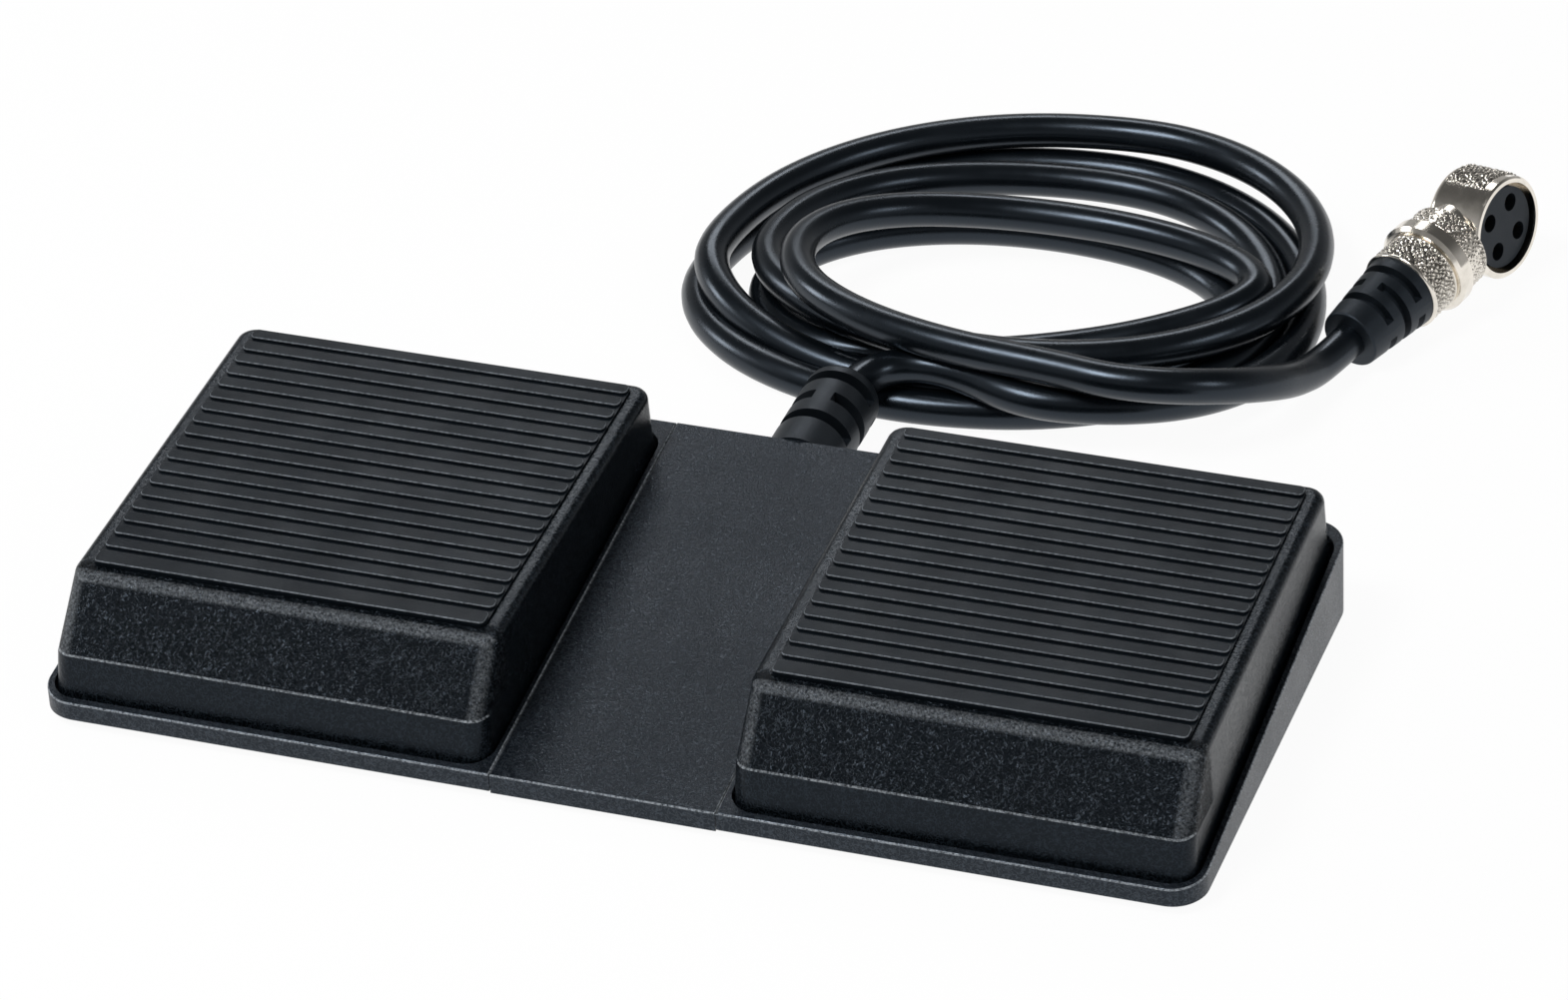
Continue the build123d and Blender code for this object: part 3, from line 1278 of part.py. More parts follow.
def plug_frame():
    """Frame at the cord end of the boot, with Z along the boot and X towards the mouth."""
    yaw, rise, roll = [math.radians(angle) for angle in (PLUG_YAW, PLUG_RISE, PLUG_ROLL)]
    along = Vector(math.sin(yaw) * math.cos(rise), math.cos(yaw) * math.cos(rise), math.sin(rise))
    level = Vector(math.cos(yaw), -math.sin(yaw), 0)
    raised = level.cross(along)
    mouth = level * math.cos(roll) + raised * math.sin(roll)
    return Plane(origin=PLUG_PLACE, x_dir=mouth, z_dir=along)


def disc(radius, low, high):
    """Cylinder on local Z between two heights."""
    return Pos(0, 0, (low + high) / 2) * Cylinder(radius, high - low)


def on_boot(solid):
    """Place a solid drawn along local Z on the boot's axis."""
    return plug_frame() * solid


def on_mouth(solid):
    """Place a solid drawn along local Z on the mouth's axis, measured from the elbow's centre."""
    return plug_frame() * Pos(0, 0, PLUG_LENGTH) * Rot(0, 90, 0) * solid


def rimmed_disc(radius, low, high, rim):
    """Cylinder on local Z with both rims chamfered."""
    return chamfer(disc(radius, low, high).edges().filter_by(GeomType.CIRCLE), rim)


def nut_end():
    return BOOT_LENGTH + NUT_LENGTH


def collar_end():
    return nut_end() + PLUG_COLLAR_LENGTH


def insert_face():
    """Distance from the boot's axis to the insert's face."""
    return HEAD_FRONT - INSERT_RECESS


def mouth_floor():
    """Distance from the boot's axis to the bottom of the mouth."""
    return HEAD_FRONT - MOUTH_DEPTH


def make_plug_boot():
    """Tapered rubber boot with slots, its root held in the clamp nut."""
    boot = Pos(0, 0, BOOT_LENGTH / 2) * Cone(BOOT_END_RADIUS, BOOT_ROOT_RADIUS, BOOT_LENGTH)
    boot = fillet(boot.edges().filter_by(GeomType.CIRCLE).sort_by(Axis.Z)[0], BOOT_END_ROUND)
    slope = (BOOT_ROOT_RADIUS - BOOT_END_RADIUS) / BOOT_LENGTH
    boot = slotted_rows(boot, BOOT_FIRST_SLOT, BOOT_SLOT_PITCH, BOOT_ROWS, BOOT_SLOT_WIDTH,
                        BOOT_SLOT_DEPTH, lambda height: BOOT_END_RADIUS + slope * height)
    return on_boot(boot + disc(PLUG_CORE_RADIUS, BOOT_LENGTH, BOOT_LENGTH + BOOT_ROOT_DEPTH))


def make_plug_nut():
    """Clamp nut round the boot's root and the body's spigot."""
    nut = rimmed_disc(NUT_RADIUS, BOOT_LENGTH, nut_end(), NUT_CHAMFER)
    return on_boot(nut - disc(PLUG_CORE_RADIUS, BOOT_LENGTH, nut_end()))


def make_plug_collar():
    """Broad smooth collar between the clamp nut and the body."""
    collar = rimmed_disc(PLUG_COLLAR_RADIUS, nut_end(), collar_end(), PLUG_COLLAR_CHAMFER)
    return on_boot(collar - disc(PLUG_CORE_RADIUS, nut_end(), collar_end()))


def make_plug_body():
    """Right-angle shell: a spigot, a band, a shoulder and a round head with the mouth in its side."""
    band_end = collar_end() + BAND_LENGTH
    upright = disc(PLUG_CORE_RADIUS, BOOT_LENGTH + BOOT_ROOT_DEPTH, collar_end())
    upright += rimmed_disc(BAND_RADIUS, collar_end(), band_end, BAND_CHAMFER)
    upright += disc(SHOULDER_RADIUS, band_end, PLUG_LENGTH - HEAD_BACK)
    head = disc(HEAD_RADIUS, -HEAD_BACK, HEAD_FRONT)
    rims = head.edges().filter_by(GeomType.CIRCLE).sort_by(Axis.Z)
    head = chamfer(rims[-1], HEAD_RIM_CHAMFER)
    head = fillet(head.edges().filter_by(GeomType.CIRCLE).sort_by(Axis.Z)[0], HEAD_BACK_ROUND)
    spot_face = disc(HEAD_RADIUS + SPOT_FACE_MARGIN, HEAD_FRONT, HEAD_FRONT + BAND_RADIUS)
    mouth = disc(MOUTH_RADIUS, mouth_floor(), HEAD_FRONT + CUT)
    bore = disc(INSERT_STUB_RADIUS, mouth_floor() - INSERT_STUB_LENGTH, HEAD_FRONT)
    return on_boot(upright) + on_mouth(head) - on_mouth(spot_face + mouth + bore)


def contact_places():
    """Centres of the contacts on the insert's face, in the mouth's own frame."""
    places = []
    for number in range(CONTACT_COUNT):
        angle = math.radians(CONTACT_START + 360 * number / CONTACT_COUNT)
        places.append((CONTACT_CIRCLE * math.cos(angle), CONTACT_CIRCLE * math.sin(angle)))
    return places


def make_plug_insert():
    """Insulating insert with a stub in the body's bore and a hole for each contact."""
    insert = disc(INSERT_RADIUS, mouth_floor(), insert_face())
    insert += disc(INSERT_STUB_RADIUS, mouth_floor() - INSERT_STUB_LENGTH, mouth_floor())
    for x, y in contact_places():
        insert -= Pos(x, y, 0) * disc(CONTACT_HOLE_RADIUS, insert_face() - CONTACT_DEPTH, insert_face())
    return on_mouth(insert)


def make_plug_contacts():
    """Metal sockets that stand in the insert's holes."""
    low = insert_face() - CONTACT_DEPTH
    high = insert_face() - CONTACT_RECESS
    socket = disc(CONTACT_RADIUS, low, high) - disc(CONTACT_BORE, low + CONTACT_BASE, high)
    return on_mouth(joined([Pos(x, y, 0) * socket for x, y in contact_places()]))


# The whole object

right_feet = joined([make_foot(x, y) for x, y in foot_places()])
plug_lead, plug_lead_path, plug_lead_radii = make_plug_lead(CORD_RADIUS)

parts = {}
parts.update(both_sides("tray", make_tray()))
parts.update(both_sides("feet", right_feet))
parts.update(both_sides("pedal", make_pedal()))
parts.update(both_sides("tread", make_tread()))
parts.update(both_sides("hinge_pin", make_pin()))
parts.update(both_sides("pin_clips", make_clips()))
parts.update(both_sides("return_springs", make_springs()))
parts.update(both_sides("bumper", make_bumper()))
parts.update(both_sides("switch_case", make_switch_case()))
parts.update(both_sides("switch_lever", make_switch_lever()))
parts.update(both_sides("switch_button", make_switch_button()))
parts.update(both_sides("switch_terminals", make_switch_terminals()))
parts.update(both_sides("switch_screws", make_switch_screws()))
parts.update(both_sides("leads", make_leads()))
parts["bridge_cover"] = make_bridge_cover()
parts["bridge_floor"] = make_bridge_floor()
parts["tie_screws"] = make_tie_screws()
parts["floor_screws"] = make_floor_screws()
parts["terminal_block"] = make_terminal_block()
parts["terminal_screws"] = make_terminal_screws()
parts["cord_clamp"] = make_cord_clamp()
parts["clamp_screws"] = make_clamp_screws()
parts["conductors"] = make_conductors()
parts["cord_gland"] = make_cord_gland()
parts["cord_tail"] = make_cord_tail()
parts["cord_lead"] = make_cord_lead()
parts["cord_coil"] = make_coil()
parts["plug_lead"] = plug_lead
parts["plug_boot"] = make_plug_boot()
parts["plug_nut"] = make_plug_nut()
parts["plug_collar"] = make_plug_collar()
parts["plug_body"] = make_plug_body()
parts["plug_insert"] = make_plug_insert()
parts["plug_contacts"] = make_plug_contacts()

for name, solid in parts.items():
    export_step(solid, f"parts/{name}.step")

section_volume = math.pi * CORD_RADIUS ** 2 * plug_lead_path.length
print("plug lead bend radii:", [round(radius, 1) for radius in plug_lead_radii])
print("plug lead volume over section times length:", round(plug_lead.volume / section_volume, 5))
print("mouth axis from", on_mouth(Pos(0, 0, 0)).position, "along", plug_frame().x_dir)
print(len(parts), "parts written")
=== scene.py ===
"""A pair of foot pedals in one low base, with a loosely coiled cord and a round right-angle plug.

Lengths are in millimetres where a name or docstring says so, and in metres everywhere else.
The frame is the part's own: +X to the user's right, +Y from the heel edge to the cord, +Z up,
with the origin on the floor under the middle of the base.
"""
import json
import logging
import math
from dataclasses import dataclass
from enum import Enum
from typing import Any, Mapping, Sequence

import bmesh
import bpy
import numpy as np
from mathutils import Matrix, Vector


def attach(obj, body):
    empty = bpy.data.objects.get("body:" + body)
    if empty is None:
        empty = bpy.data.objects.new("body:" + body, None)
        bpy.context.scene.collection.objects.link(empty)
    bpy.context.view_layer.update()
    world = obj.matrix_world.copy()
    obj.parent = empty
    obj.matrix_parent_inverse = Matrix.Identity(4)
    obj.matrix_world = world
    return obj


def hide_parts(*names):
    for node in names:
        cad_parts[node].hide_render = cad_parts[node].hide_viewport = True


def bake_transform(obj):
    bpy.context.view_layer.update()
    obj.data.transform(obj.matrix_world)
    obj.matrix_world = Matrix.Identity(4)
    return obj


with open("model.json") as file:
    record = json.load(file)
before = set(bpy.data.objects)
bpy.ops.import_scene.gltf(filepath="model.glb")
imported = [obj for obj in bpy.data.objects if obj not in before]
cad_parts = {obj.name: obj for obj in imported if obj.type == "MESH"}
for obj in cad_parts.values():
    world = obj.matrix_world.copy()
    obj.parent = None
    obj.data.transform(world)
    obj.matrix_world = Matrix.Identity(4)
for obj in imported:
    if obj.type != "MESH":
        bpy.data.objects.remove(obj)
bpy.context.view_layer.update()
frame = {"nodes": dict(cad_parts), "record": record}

MM = 0.001
PHOTO_SIZE = (1570, 1001)
# Millimetres from the origin that no face of the base or the pedals reaches, along Y or Z: the
# limit of a band that is open on one side.
BEYOND = 60.0
# Blender's noise lies about this value, and nearly all of its clouds between these two.
NOISE_MIDDLE = 0.5
DARK_CLOUDS, LIGHT_CLOUDS = 0.35, 0.68
# Sockets of a Mix node: the share, the two numbers and the two colours that go in, and the
# number or the colour that comes out.
SHARE, NUMBER_A, NUMBER_B, COLOUR_A, COLOUR_B = 0, 2, 3, 6, 7
MIXED_NUMBER, MIXED_COLOUR = 0, 2
# Points of a grid that lie nearer to each other than this, in metres, are one point.
ONE_POINT = 1e-7

Tree = bpy.types.NodeTree
Node = bpy.types.Node
Socket = bpy.types.NodeSocket
Piece = bpy.types.Object

log = logging.getLogger("foot_pedals")


class Side(Enum):
    """Which of the two pedals a piece belongs to."""

    LEFT = "left"
    RIGHT = "right"


# Shared helpers


def linear(hex_colour: str) -> tuple[float, float, float, float]:
    """Turn an sRGB hex colour into the linear colour that shaders take.

    Each channel below 0.04045 is divided by 12.92, and each one above has 0.055 added, is divided
    by 1.055 and raised to 2.4.

    Args:
        hex_colour: A colour such as "#20242a".

    Returns:
        Red, green and blue in linear light, and an alpha of 1.
    """
    channels = np.array([int(hex_colour[i:i + 2], 16) for i in (1, 3, 5)]) / 255
    light = np.where(channels <= 0.04045, channels / 12.92, ((channels + 0.055) / 1.055) ** 2.4)
    return (*light.tolist(), 1.0)


def add_node(tree: Tree, kind: str, inputs: Mapping[Any, Any] | None = None, **settings: Any) -> Node:
    """Add one shader node with its settings and links.

    Args:
        tree: The node tree that gets the node.
        kind: The node's type, such as "ShaderNodeBump".
        inputs: Values by input name or number; a socket is linked, anything else is set.
        **settings: Properties of the node itself.

    Returns:
        The new node.
    """
    node = tree.nodes.new(kind)
    for name, value in settings.items():
        setattr(node, name, value)
    for key, value in (inputs or {}).items():
        if isinstance(value, Socket):
            tree.links.new(value, node.inputs[key])
        else:
            node.inputs[key].default_value = value
    return node


def grid_piece(name: str, points: np.ndarray, around: bool, along: bool,
               groove: np.ndarray | None = None) -> Piece:
    """Make a smooth-shaded object from a grid of points.

    Each face joins the four points of one cell of the grid, and the last row or column is joined
    to the first where the surface closes on itself. Points in one place become one point, so that
    poles close.

    Args:
        name: The piece's name.
        points: Array of rows by columns by 3, in metres.
        around: Whether the last column joins the first.
        along: Whether the last row joins the first.
        groove: How dark the painted shade in the grooves is at each point, from 0 to 1, kept as an
            attribute.

    Returns:
        The object, with its faces turned outwards.
    """
    rows, columns = points.shape[:2]
    index = np.arange(rows * columns).reshape(rows, columns)
    if around:
        index = np.concatenate([index, index[:, :1]], axis=1)
    if along:
        index = np.concatenate([index, index[:1]], axis=0)
    quads = np.stack([index[:-1, :-1], index[:-1, 1:], index[1:, 1:], index[1:, :-1]], axis=-1)
    mesh = bpy.data.meshes.new(name)
    mesh.from_pydata(points.reshape(-1, 3), [], quads.reshape(-1, 4), shade_flat=False)
    if groove is not None:
        mesh.attributes.new("groove", "FLOAT", "POINT").data.foreach_set("value", groove.ravel())
    build = bmesh.new()
    build.from_mesh(mesh)
    bmesh.ops.remove_doubles(build, verts=build.verts, dist=ONE_POINT)
    bmesh.ops.recalc_face_normals(build, faces=build.faces)
    build.to_mesh(mesh)
    build.free()
    piece = bpy.data.objects.new(name, mesh)
    bpy.context.scene.collection.objects.link(piece)
    return piece


def smoothstep(low: float, high: float, value: np.ndarray) -> np.ndarray:
    """Ease from 0 at low to 1 at high: three times the share squared less twice its cube."""
    share = np.clip((value - low) / (high - low), 0, 1)
    return share * share * (3 - 2 * share)


# Finishes


def band(tree: Tree, value: Socket, low_mm: float, high_mm: float, soft_mm: float) -> Socket:
    """Share that is 1 while a distance lies between two limits, and eases to 0 outside them.

    Args:
        tree: The node tree.
        value: The distance, in metres.
        low_mm: Lower limit.
        high_mm: Upper limit.
        soft_mm: Width over which it eases.

    Returns:
        The share's socket.
    """
    eased = [
        add_node(tree, "ShaderNodeMapRange", {
            "Value": value, "From Min": outside * MM, "From Max": inside * MM,
        }, interpolation_type="SMOOTHSTEP").outputs["Result"]
        for outside, inside in ((low_mm - soft_mm, low_mm), (high_mm + soft_mm, high_mm))
    ]
    return add_node(tree, "ShaderNodeMath", {0: eased[0], 1: eased[1]}, operation="MULTIPLY").outputs[0]


def patches(tree: Tree, coords: Socket, size_mm: float, low: float, high: float) -> Socket:
    """Soft cloudy pattern of a given size, carried from its middle tones to two values.

    Args:
        tree: The node tree.
        coords: Where the pattern is read.
        size_mm: Size of its patches.
        low: Value in its darkest patches.
        high: Value in its lightest patches.

    Returns:
        The pattern's socket.
    """
    clouds = add_node(tree, "ShaderNodeTexNoise", {
        "Vector": coords, "Scale": 1 / (size_mm * MM), "Detail": 4.0, "Roughness": 0.6,
    })
    spread = add_node(tree, "ShaderNodeMapRange", {
        "Value": clouds.outputs["Fac"], "From Min": DARK_CLOUDS, "From Max": LIGHT_CLOUDS, "To Min": low,
        "To Max": high,
    })
    return spread.outputs["Result"]


def fine_bump(tree: Tree, coords: Socket, size_mm: float, depth_mm: float, **noise: float) -> Socket:
    """Bump of fine lumps, from noise.

    Args:
        tree: The node tree.
        coords: Where the noise is read.
        size_mm: Width of the lumps.
        depth_mm: Height of the lumps.
        **noise: The noise's own inputs, such as Detail.

    Returns:
        The bumped normal's socket.
    """
    lumps = add_node(tree, "ShaderNodeTexNoise", {"Vector": coords, "Scale": 1 / (size_mm * MM), **noise})
    bump = add_node(tree, "ShaderNodeBump", {"Height": lumps.outputs["Fac"], "Distance": depth_mm * MM})
    return bump.outputs["Normal"]


@dataclass(frozen=True)
class WearAndHighlightEdge:
    """Where soles and hands rub a moulding smooth, and where its edge is painted pale as wear and as a
    painted highlight: each named coordinate is in its band.

    X is the distance from the middle of the base to either side. Z is the height over a plane that
    goes through the frame's origin and rises to the back by the slope.

    Attributes:
        bands: Name, low limit, high limit and soft width of each band, in millimetres.
        slope: Rise of the plane that Z is measured from, per unit of Y.
        wear_and_highlight: Share of the pale colour, wear and painted highlight, at its strongest.
    """

    bands: tuple[tuple[str, float, float, float], ...]
    slope: float = 0.0
    wear_and_highlight: float = 1.0

    def share(self, tree: Tree, coords: Socket) -> Socket:
        """Find the place that is worn and painted with a highlight: the product of its bands.

        Args:
            tree: The node tree.
            coords: Object coordinates.

        Returns:
            A socket that is 1 where it is worn and painted with a highlight, and 0 away from there.
        """
        place = add_node(tree, "ShaderNodeSeparateXYZ", {0: coords}).outputs
        across = add_node(tree, "ShaderNodeMath", {0: place["X"]}, operation="ABSOLUTE")
        rise = add_node(tree, "ShaderNodeMath", {
            0: place["Y"], 1: -self.slope, 2: place["Z"],
        }, operation="MULTIPLY_ADD")
        sockets = {"X": across.outputs[0], "Y": place["Y"], "Z": rise.outputs[0]}
        share = 1.0
        for name, low, high, soft in self.bands:
            inside = band(tree, sockets[name], low, high, soft)
            share = add_node(tree, "ShaderNodeMath", {0: share, 1: inside}, operation="MULTIPLY").outputs[0]
        return share


@dataclass(frozen=True)
class Finish:
    """A real surface: its colour, how glossy it is and what its bumps are.

    Attributes:
        name: The material's common name.
        colour: sRGB hex colour of the bulk.
        roughness: Roughness of the shader at its middle.
        specular: Specular level, where 0.5 is the plain reflection of the IOR.
        ior: Index of refraction.
        cast: sRGB hex colour of the reflection seen face on.
        metallic: 1 for a metal.
        drift_mm: Size of the patches in which the gloss drifts.
        glossier: How much lower the roughness is in its glossiest patches.
        duller: How much higher it is in its dullest patches.
    """

    name: str
    colour: str
    roughness: float
    specular: float = 0.5
    ior: float = 1.5
    cast: str = "#d6e9ff"
    metallic: float = 0.0
    drift_mm: float = 3.0
    glossier: float = 0.04
    duller: float = 0.05

    def material(self) -> bpy.types.Material:
        """Build the material: a Principled shader that the finish's own nodes dress.

        Returns:
            The new material.
        """
        material = bpy.data.materials.new(self.name)
        material.use_nodes = True
        tree = material.node_tree
        shader = tree.nodes["Principled BSDF"]
        shader.inputs["Base Color"].default_value = linear(self.colour)
        shader.inputs["Roughness"].default_value = self.roughness
        shader.inputs["Metallic"].default_value = self.metallic
        shader.inputs["Specular IOR Level"].default_value = self.specular
        shader.inputs["IOR"].default_value = self.ior
        shader.inputs["Specular Tint"].default_value = linear(self.cast)
        coords = add_node(tree, "ShaderNodeTexCoord").outputs["Object"]
        for name, socket in self.dress(tree, coords).items():
            tree.links.new(socket, shader.inputs[name])
        return material

    def dress(self, tree: Tree, coords: Socket) -> dict[str, Socket]:
        """What varies over the surface, by the name of the shader's input. A plain finish has nothing."""
        return {}

    def gloss(self, tree: Tree, coords: Socket) -> Socket:
        """Roughness that drifts in patches about its middle.

        Args:
            tree: The node tree.
            coords: Object coordinates.

        Returns:
            The roughness's socket.
        """
        return patches(tree, coords, self.drift_mm, self.roughness - self.glossier,
                       self.roughness + self.duller)

    def clouded(self, tree: Tree, coords: Socket, size_mm: float, most: float, second: str) -> Socket:
        """The bulk's colour with patches of a second one in it.

        Args:
            tree: The node tree.
            coords: Object coordinates.
            size_mm: Size of the patches.
            most: Greatest share of the second colour.
            second: The second colour, as sRGB hex.

        Returns:
            The colour's socket.
        """
        share = patches(tree, coords, size_mm, 0.0, most)
        mixed = add_node(tree, "ShaderNodeMix", {
            SHARE: share, COLOUR_A: linear(self.colour), COLOUR_B: linear(second),
        }, data_type="RGBA")
        return mixed.outputs[MIXED_COLOUR]


@dataclass(frozen=True)
class MouldedFinish(Finish):
    """A moulded surface with edges that are rubbed and painted pale as a highlight, broken into scuffs.

    Attributes:
        rubbed_and_highlight: sRGB hex colour of the pale edges: rubbed wear and a painted highlight.
        edges: The edges and corners that are worn and painted with a highlight.
        scuff_and_glint_mm: Size of the scuffs that break up the pale edges.
        scuff_and_glint_low: Share of the pale colour that is left between the scuffs.
        polish: How much lower the roughness is where an edge is rubbed, or 0 to leave it.
    """

    rubbed_and_highlight: str = "#a4aab0"
    edges: tuple[WearAndHighlightEdge, ...] = ()
    scuff_and_glint_mm: float = 0.5
    scuff_and_glint_low: float = 0.05
    polish: float = 0.0

    def rub_and_highlight(self, tree: Tree, coords: Socket, colour: Socket, gloss: Socket) -> tuple[Socket, Socket]:
        """Rub the edges and corners, and paint a highlight on them.

        Args:
            tree: The node tree.
            coords: Object coordinates.
            colour: The colour before.
            gloss: The roughness before.

        Returns:
            The colour and the roughness with the wear and the painted highlight in them.
        """
        for edge in self.edges:
            share = edge.share(tree, coords)
            scuffs_and_glints = patches(tree, coords, self.scuff_and_glint_mm, self.scuff_and_glint_low * edge.wear_and_highlight, edge.wear_and_highlight)
            worn_and_lit = add_node(tree, "ShaderNodeMath", {0: share, 1: scuffs_and_glints}, operation="MULTIPLY")
            # the pale colour on the edges is rubbed wear and a painted highlight
            colour = add_node(tree, "ShaderNodeMix", {
                SHARE: worn_and_lit.outputs[0], COLOUR_A: colour, COLOUR_B: linear(self.rubbed_and_highlight),
            }, data_type="RGBA").outputs[MIXED_COLOUR]
            if self.polish:
                gloss = add_node(tree, "ShaderNodeMix", {
                    SHARE: share, NUMBER_A: gloss, NUMBER_B: self.roughness - self.polish,
                }, data_type="FLOAT").outputs[MIXED_NUMBER]
        return colour, gloss


@dataclass(frozen=True)
class GrainedPlastic(MouldedFinish):
    """Injection-moulded plastic with a leather grain etched into its mould.

    Fine winding ridges catch small separate highlights, and their tops are painted lighter as a
    painted sheen over painted shade in the valleys; the surface drifts slightly in gloss over a few
    centimetres, and its edges are rubbed smoother and painted paler, as wear and a painted highlight.

    Attributes:
        grain_mm: Width of one winding of the grain.
        depth_mm: Height of a ridge above the valleys.
        tops: sRGB hex colour of the ridges' tops, painted lighter than the valleys: a painted sheen on the
            ridges and painted shade in the valleys.
        ridge_reach: How far from its middle the noise is where a ridge ends.
        grit_share: Height of the grit next to a ridge's.
        grit_fineness: How many times finer the grit is than the grain.
        valley: Height, ridge and grit together, at which the surface is all valley.
        crest: Height at which it is all top.
        coarse_front: Y in millimetres in front of which the grain has its full depth.
        front_soft: Width in millimetres over which it changes there.
        coarse_low: Height in millimetres above which the grain has its full depth.
        low_soft: Width in millimetres over which it changes there.
        fine_share: Share of the grain's depth elsewhere.
        fine_level: Specular level elsewhere.
        pores: Specular level in the valleys of the full-depth grain, where light is trapped.
    """

    polish: float = 0.12
    drift_mm: float = 28.0
    duller: float = 0.06
    grain_mm: float = 1.0
    depth_mm: float = 0.05
    tops: str = "#2b3036"
    ridge_reach: float = 0.09
    grit_share: float = 0.7
    grit_fineness: float = 2.5
    valley: float = 0.5
    crest: float = 1.4
    coarse_front: float = BEYOND
    front_soft: float = 2.0
    coarse_low: float = -1.0
    low_soft: float = 0.4
    fine_share: float = 0.3
    fine_level: float = 0.2
    pores: float = 0.1

    def dress(self, tree: Tree, coords: Socket) -> dict[str, Socket]:
        """Work out the grain's bump, colour, gloss and reflection.

        Ridges wind along the lines where a warped noise crosses its middle: their height is 1 on
        the line and eases to 0 at the ridge's reach from it. Fine grit is added to that height.

        Args:
            tree: The node tree.
            coords: Object coordinates.

        Returns:
            Sockets by the names of the shader's inputs.
        """
        warped = add_node(tree, "ShaderNodeTexNoise", {
            "Vector": coords, "Scale": 1 / (self.grain_mm * MM), "Detail": 1.0, "Roughness": 0.4,
            "Distortion": 0.8,
        })
        offset = add_node(tree, "ShaderNodeMath", {
            0: warped.outputs["Fac"], 1: NOISE_MIDDLE,
        }, operation="SUBTRACT")
        away = add_node(tree, "ShaderNodeMath", {0: offset.outputs[0]}, operation="ABSOLUTE")
        ridge = add_node(tree, "ShaderNodeMapRange", {
            "Value": away.outputs[0], "From Max": self.ridge_reach, "To Min": 1.0, "To Max": 0.0,
        }, interpolation_type="SMOOTHSTEP")
        grit = add_node(tree, "ShaderNodeTexNoise", {
            "Vector": coords, "Detail": 2.0, "Roughness": 0.6,
            "Scale": self.grit_fineness / (self.grain_mm * MM),
        })
        height = add_node(tree, "ShaderNodeMath", {
            0: grit.outputs["Fac"], 1: self.grit_share, 2: ridge.outputs["Result"],
        }, operation="MULTIPLY_ADD")
        place = add_node(tree, "ShaderNodeSeparateXYZ", {0: coords})
        front = band(tree, place.outputs["Y"], -BEYOND, self.coarse_front, self.front_soft)
        above = band(tree, place.outputs["Z"], self.coarse_low, BEYOND, self.low_soft)
        coarse = add_node(tree, "ShaderNodeMath", {0: front, 1: above}, operation="MULTIPLY")
        strength = add_node(tree, "ShaderNodeMapRange", {
            "Value": coarse.outputs[0], "To Min": self.fine_share, "To Max": 1.0,
        })
        bump = add_node(tree, "ShaderNodeBump", {
            "Height": height.outputs[0], "Strength": strength.outputs["Result"],
            "Distance": self.depth_mm * MM,
        })
        from_height = {"Value": height.outputs[0], "From Min": self.valley, "From Max": self.crest}
        # the ridges' tops are painted lighter and the valleys darker: painted sheen and painted shade
        tint = add_node(tree, "ShaderNodeMapRange", from_height)
        mixed = add_node(tree, "ShaderNodeMix", {
            SHARE: tint.outputs["Result"], COLOUR_A: linear(self.colour), COLOUR_B: linear(self.tops),
        }, data_type="RGBA")
        colour, gloss = self.rub_and_highlight(tree, coords, mixed.outputs[MIXED_COLOUR], self.gloss(tree, coords))
        trapped = add_node(tree, "ShaderNodeMapRange", {
            **from_height, "To Min": self.pores, "To Max": 2 * self.specular - self.pores,
        })
        level = add_node(tree, "ShaderNodeMix", {
            SHARE: coarse.outputs[0], NUMBER_A: self.fine_level, NUMBER_B: trapped.outputs["Result"],
        }, data_type="FLOAT")
        return {"Base Color": colour, "Roughness": gloss, "Normal": bump.outputs["Normal"],
                "Specular IOR Level": level.outputs[MIXED_NUMBER]}


@dataclass(frozen=True)
class MouldedRubber(MouldedFinish):
    """Moulded rubber or soft vinyl: a fine even tooth, with dust-pale patches that scatter light.

    Attributes:
        tooth_mm: Width of the fine tooth left by the mould.
        depth_mm: Height of that tooth.
        dusty: sRGB hex colour of the paler patches.
        dust_mm: Size of those patches.
        dust_most: Greatest share of their colour.
    """

    rubbed_and_highlight: str = "#878d93"
    scuff_and_glint_mm: float = 0.6
    scuff_and_glint_low: float = 0.3
    drift_mm: float = 14.0
    tooth_mm: float = 0.4
    depth_mm: float = 0.02
    dusty: str = "#33383d"
    dust_mm: float = 9.0
    dust_most: float = 0.6

    def dress(self, tree: Tree, coords: Socket) -> dict[str, Socket]:
        """Work out the tooth as a bump, and the dust, the wear and the edges' painted highlight as colour.

        Args:
            tree: The node tree.
            coords: Object coordinates.

        Returns:
            Sockets by the names of the shader's inputs.
        """
        dusted = self.clouded(tree, coords, self.dust_mm, self.dust_most, self.dusty)
        colour, gloss = self.rub_and_highlight(tree, coords, dusted, self.gloss(tree, coords))
        normal = fine_bump(tree, coords, self.tooth_mm, self.depth_mm, Detail=3.0, Roughness=0.55)
        return {"Base Color": colour, "Roughness": gloss, "Normal": normal}


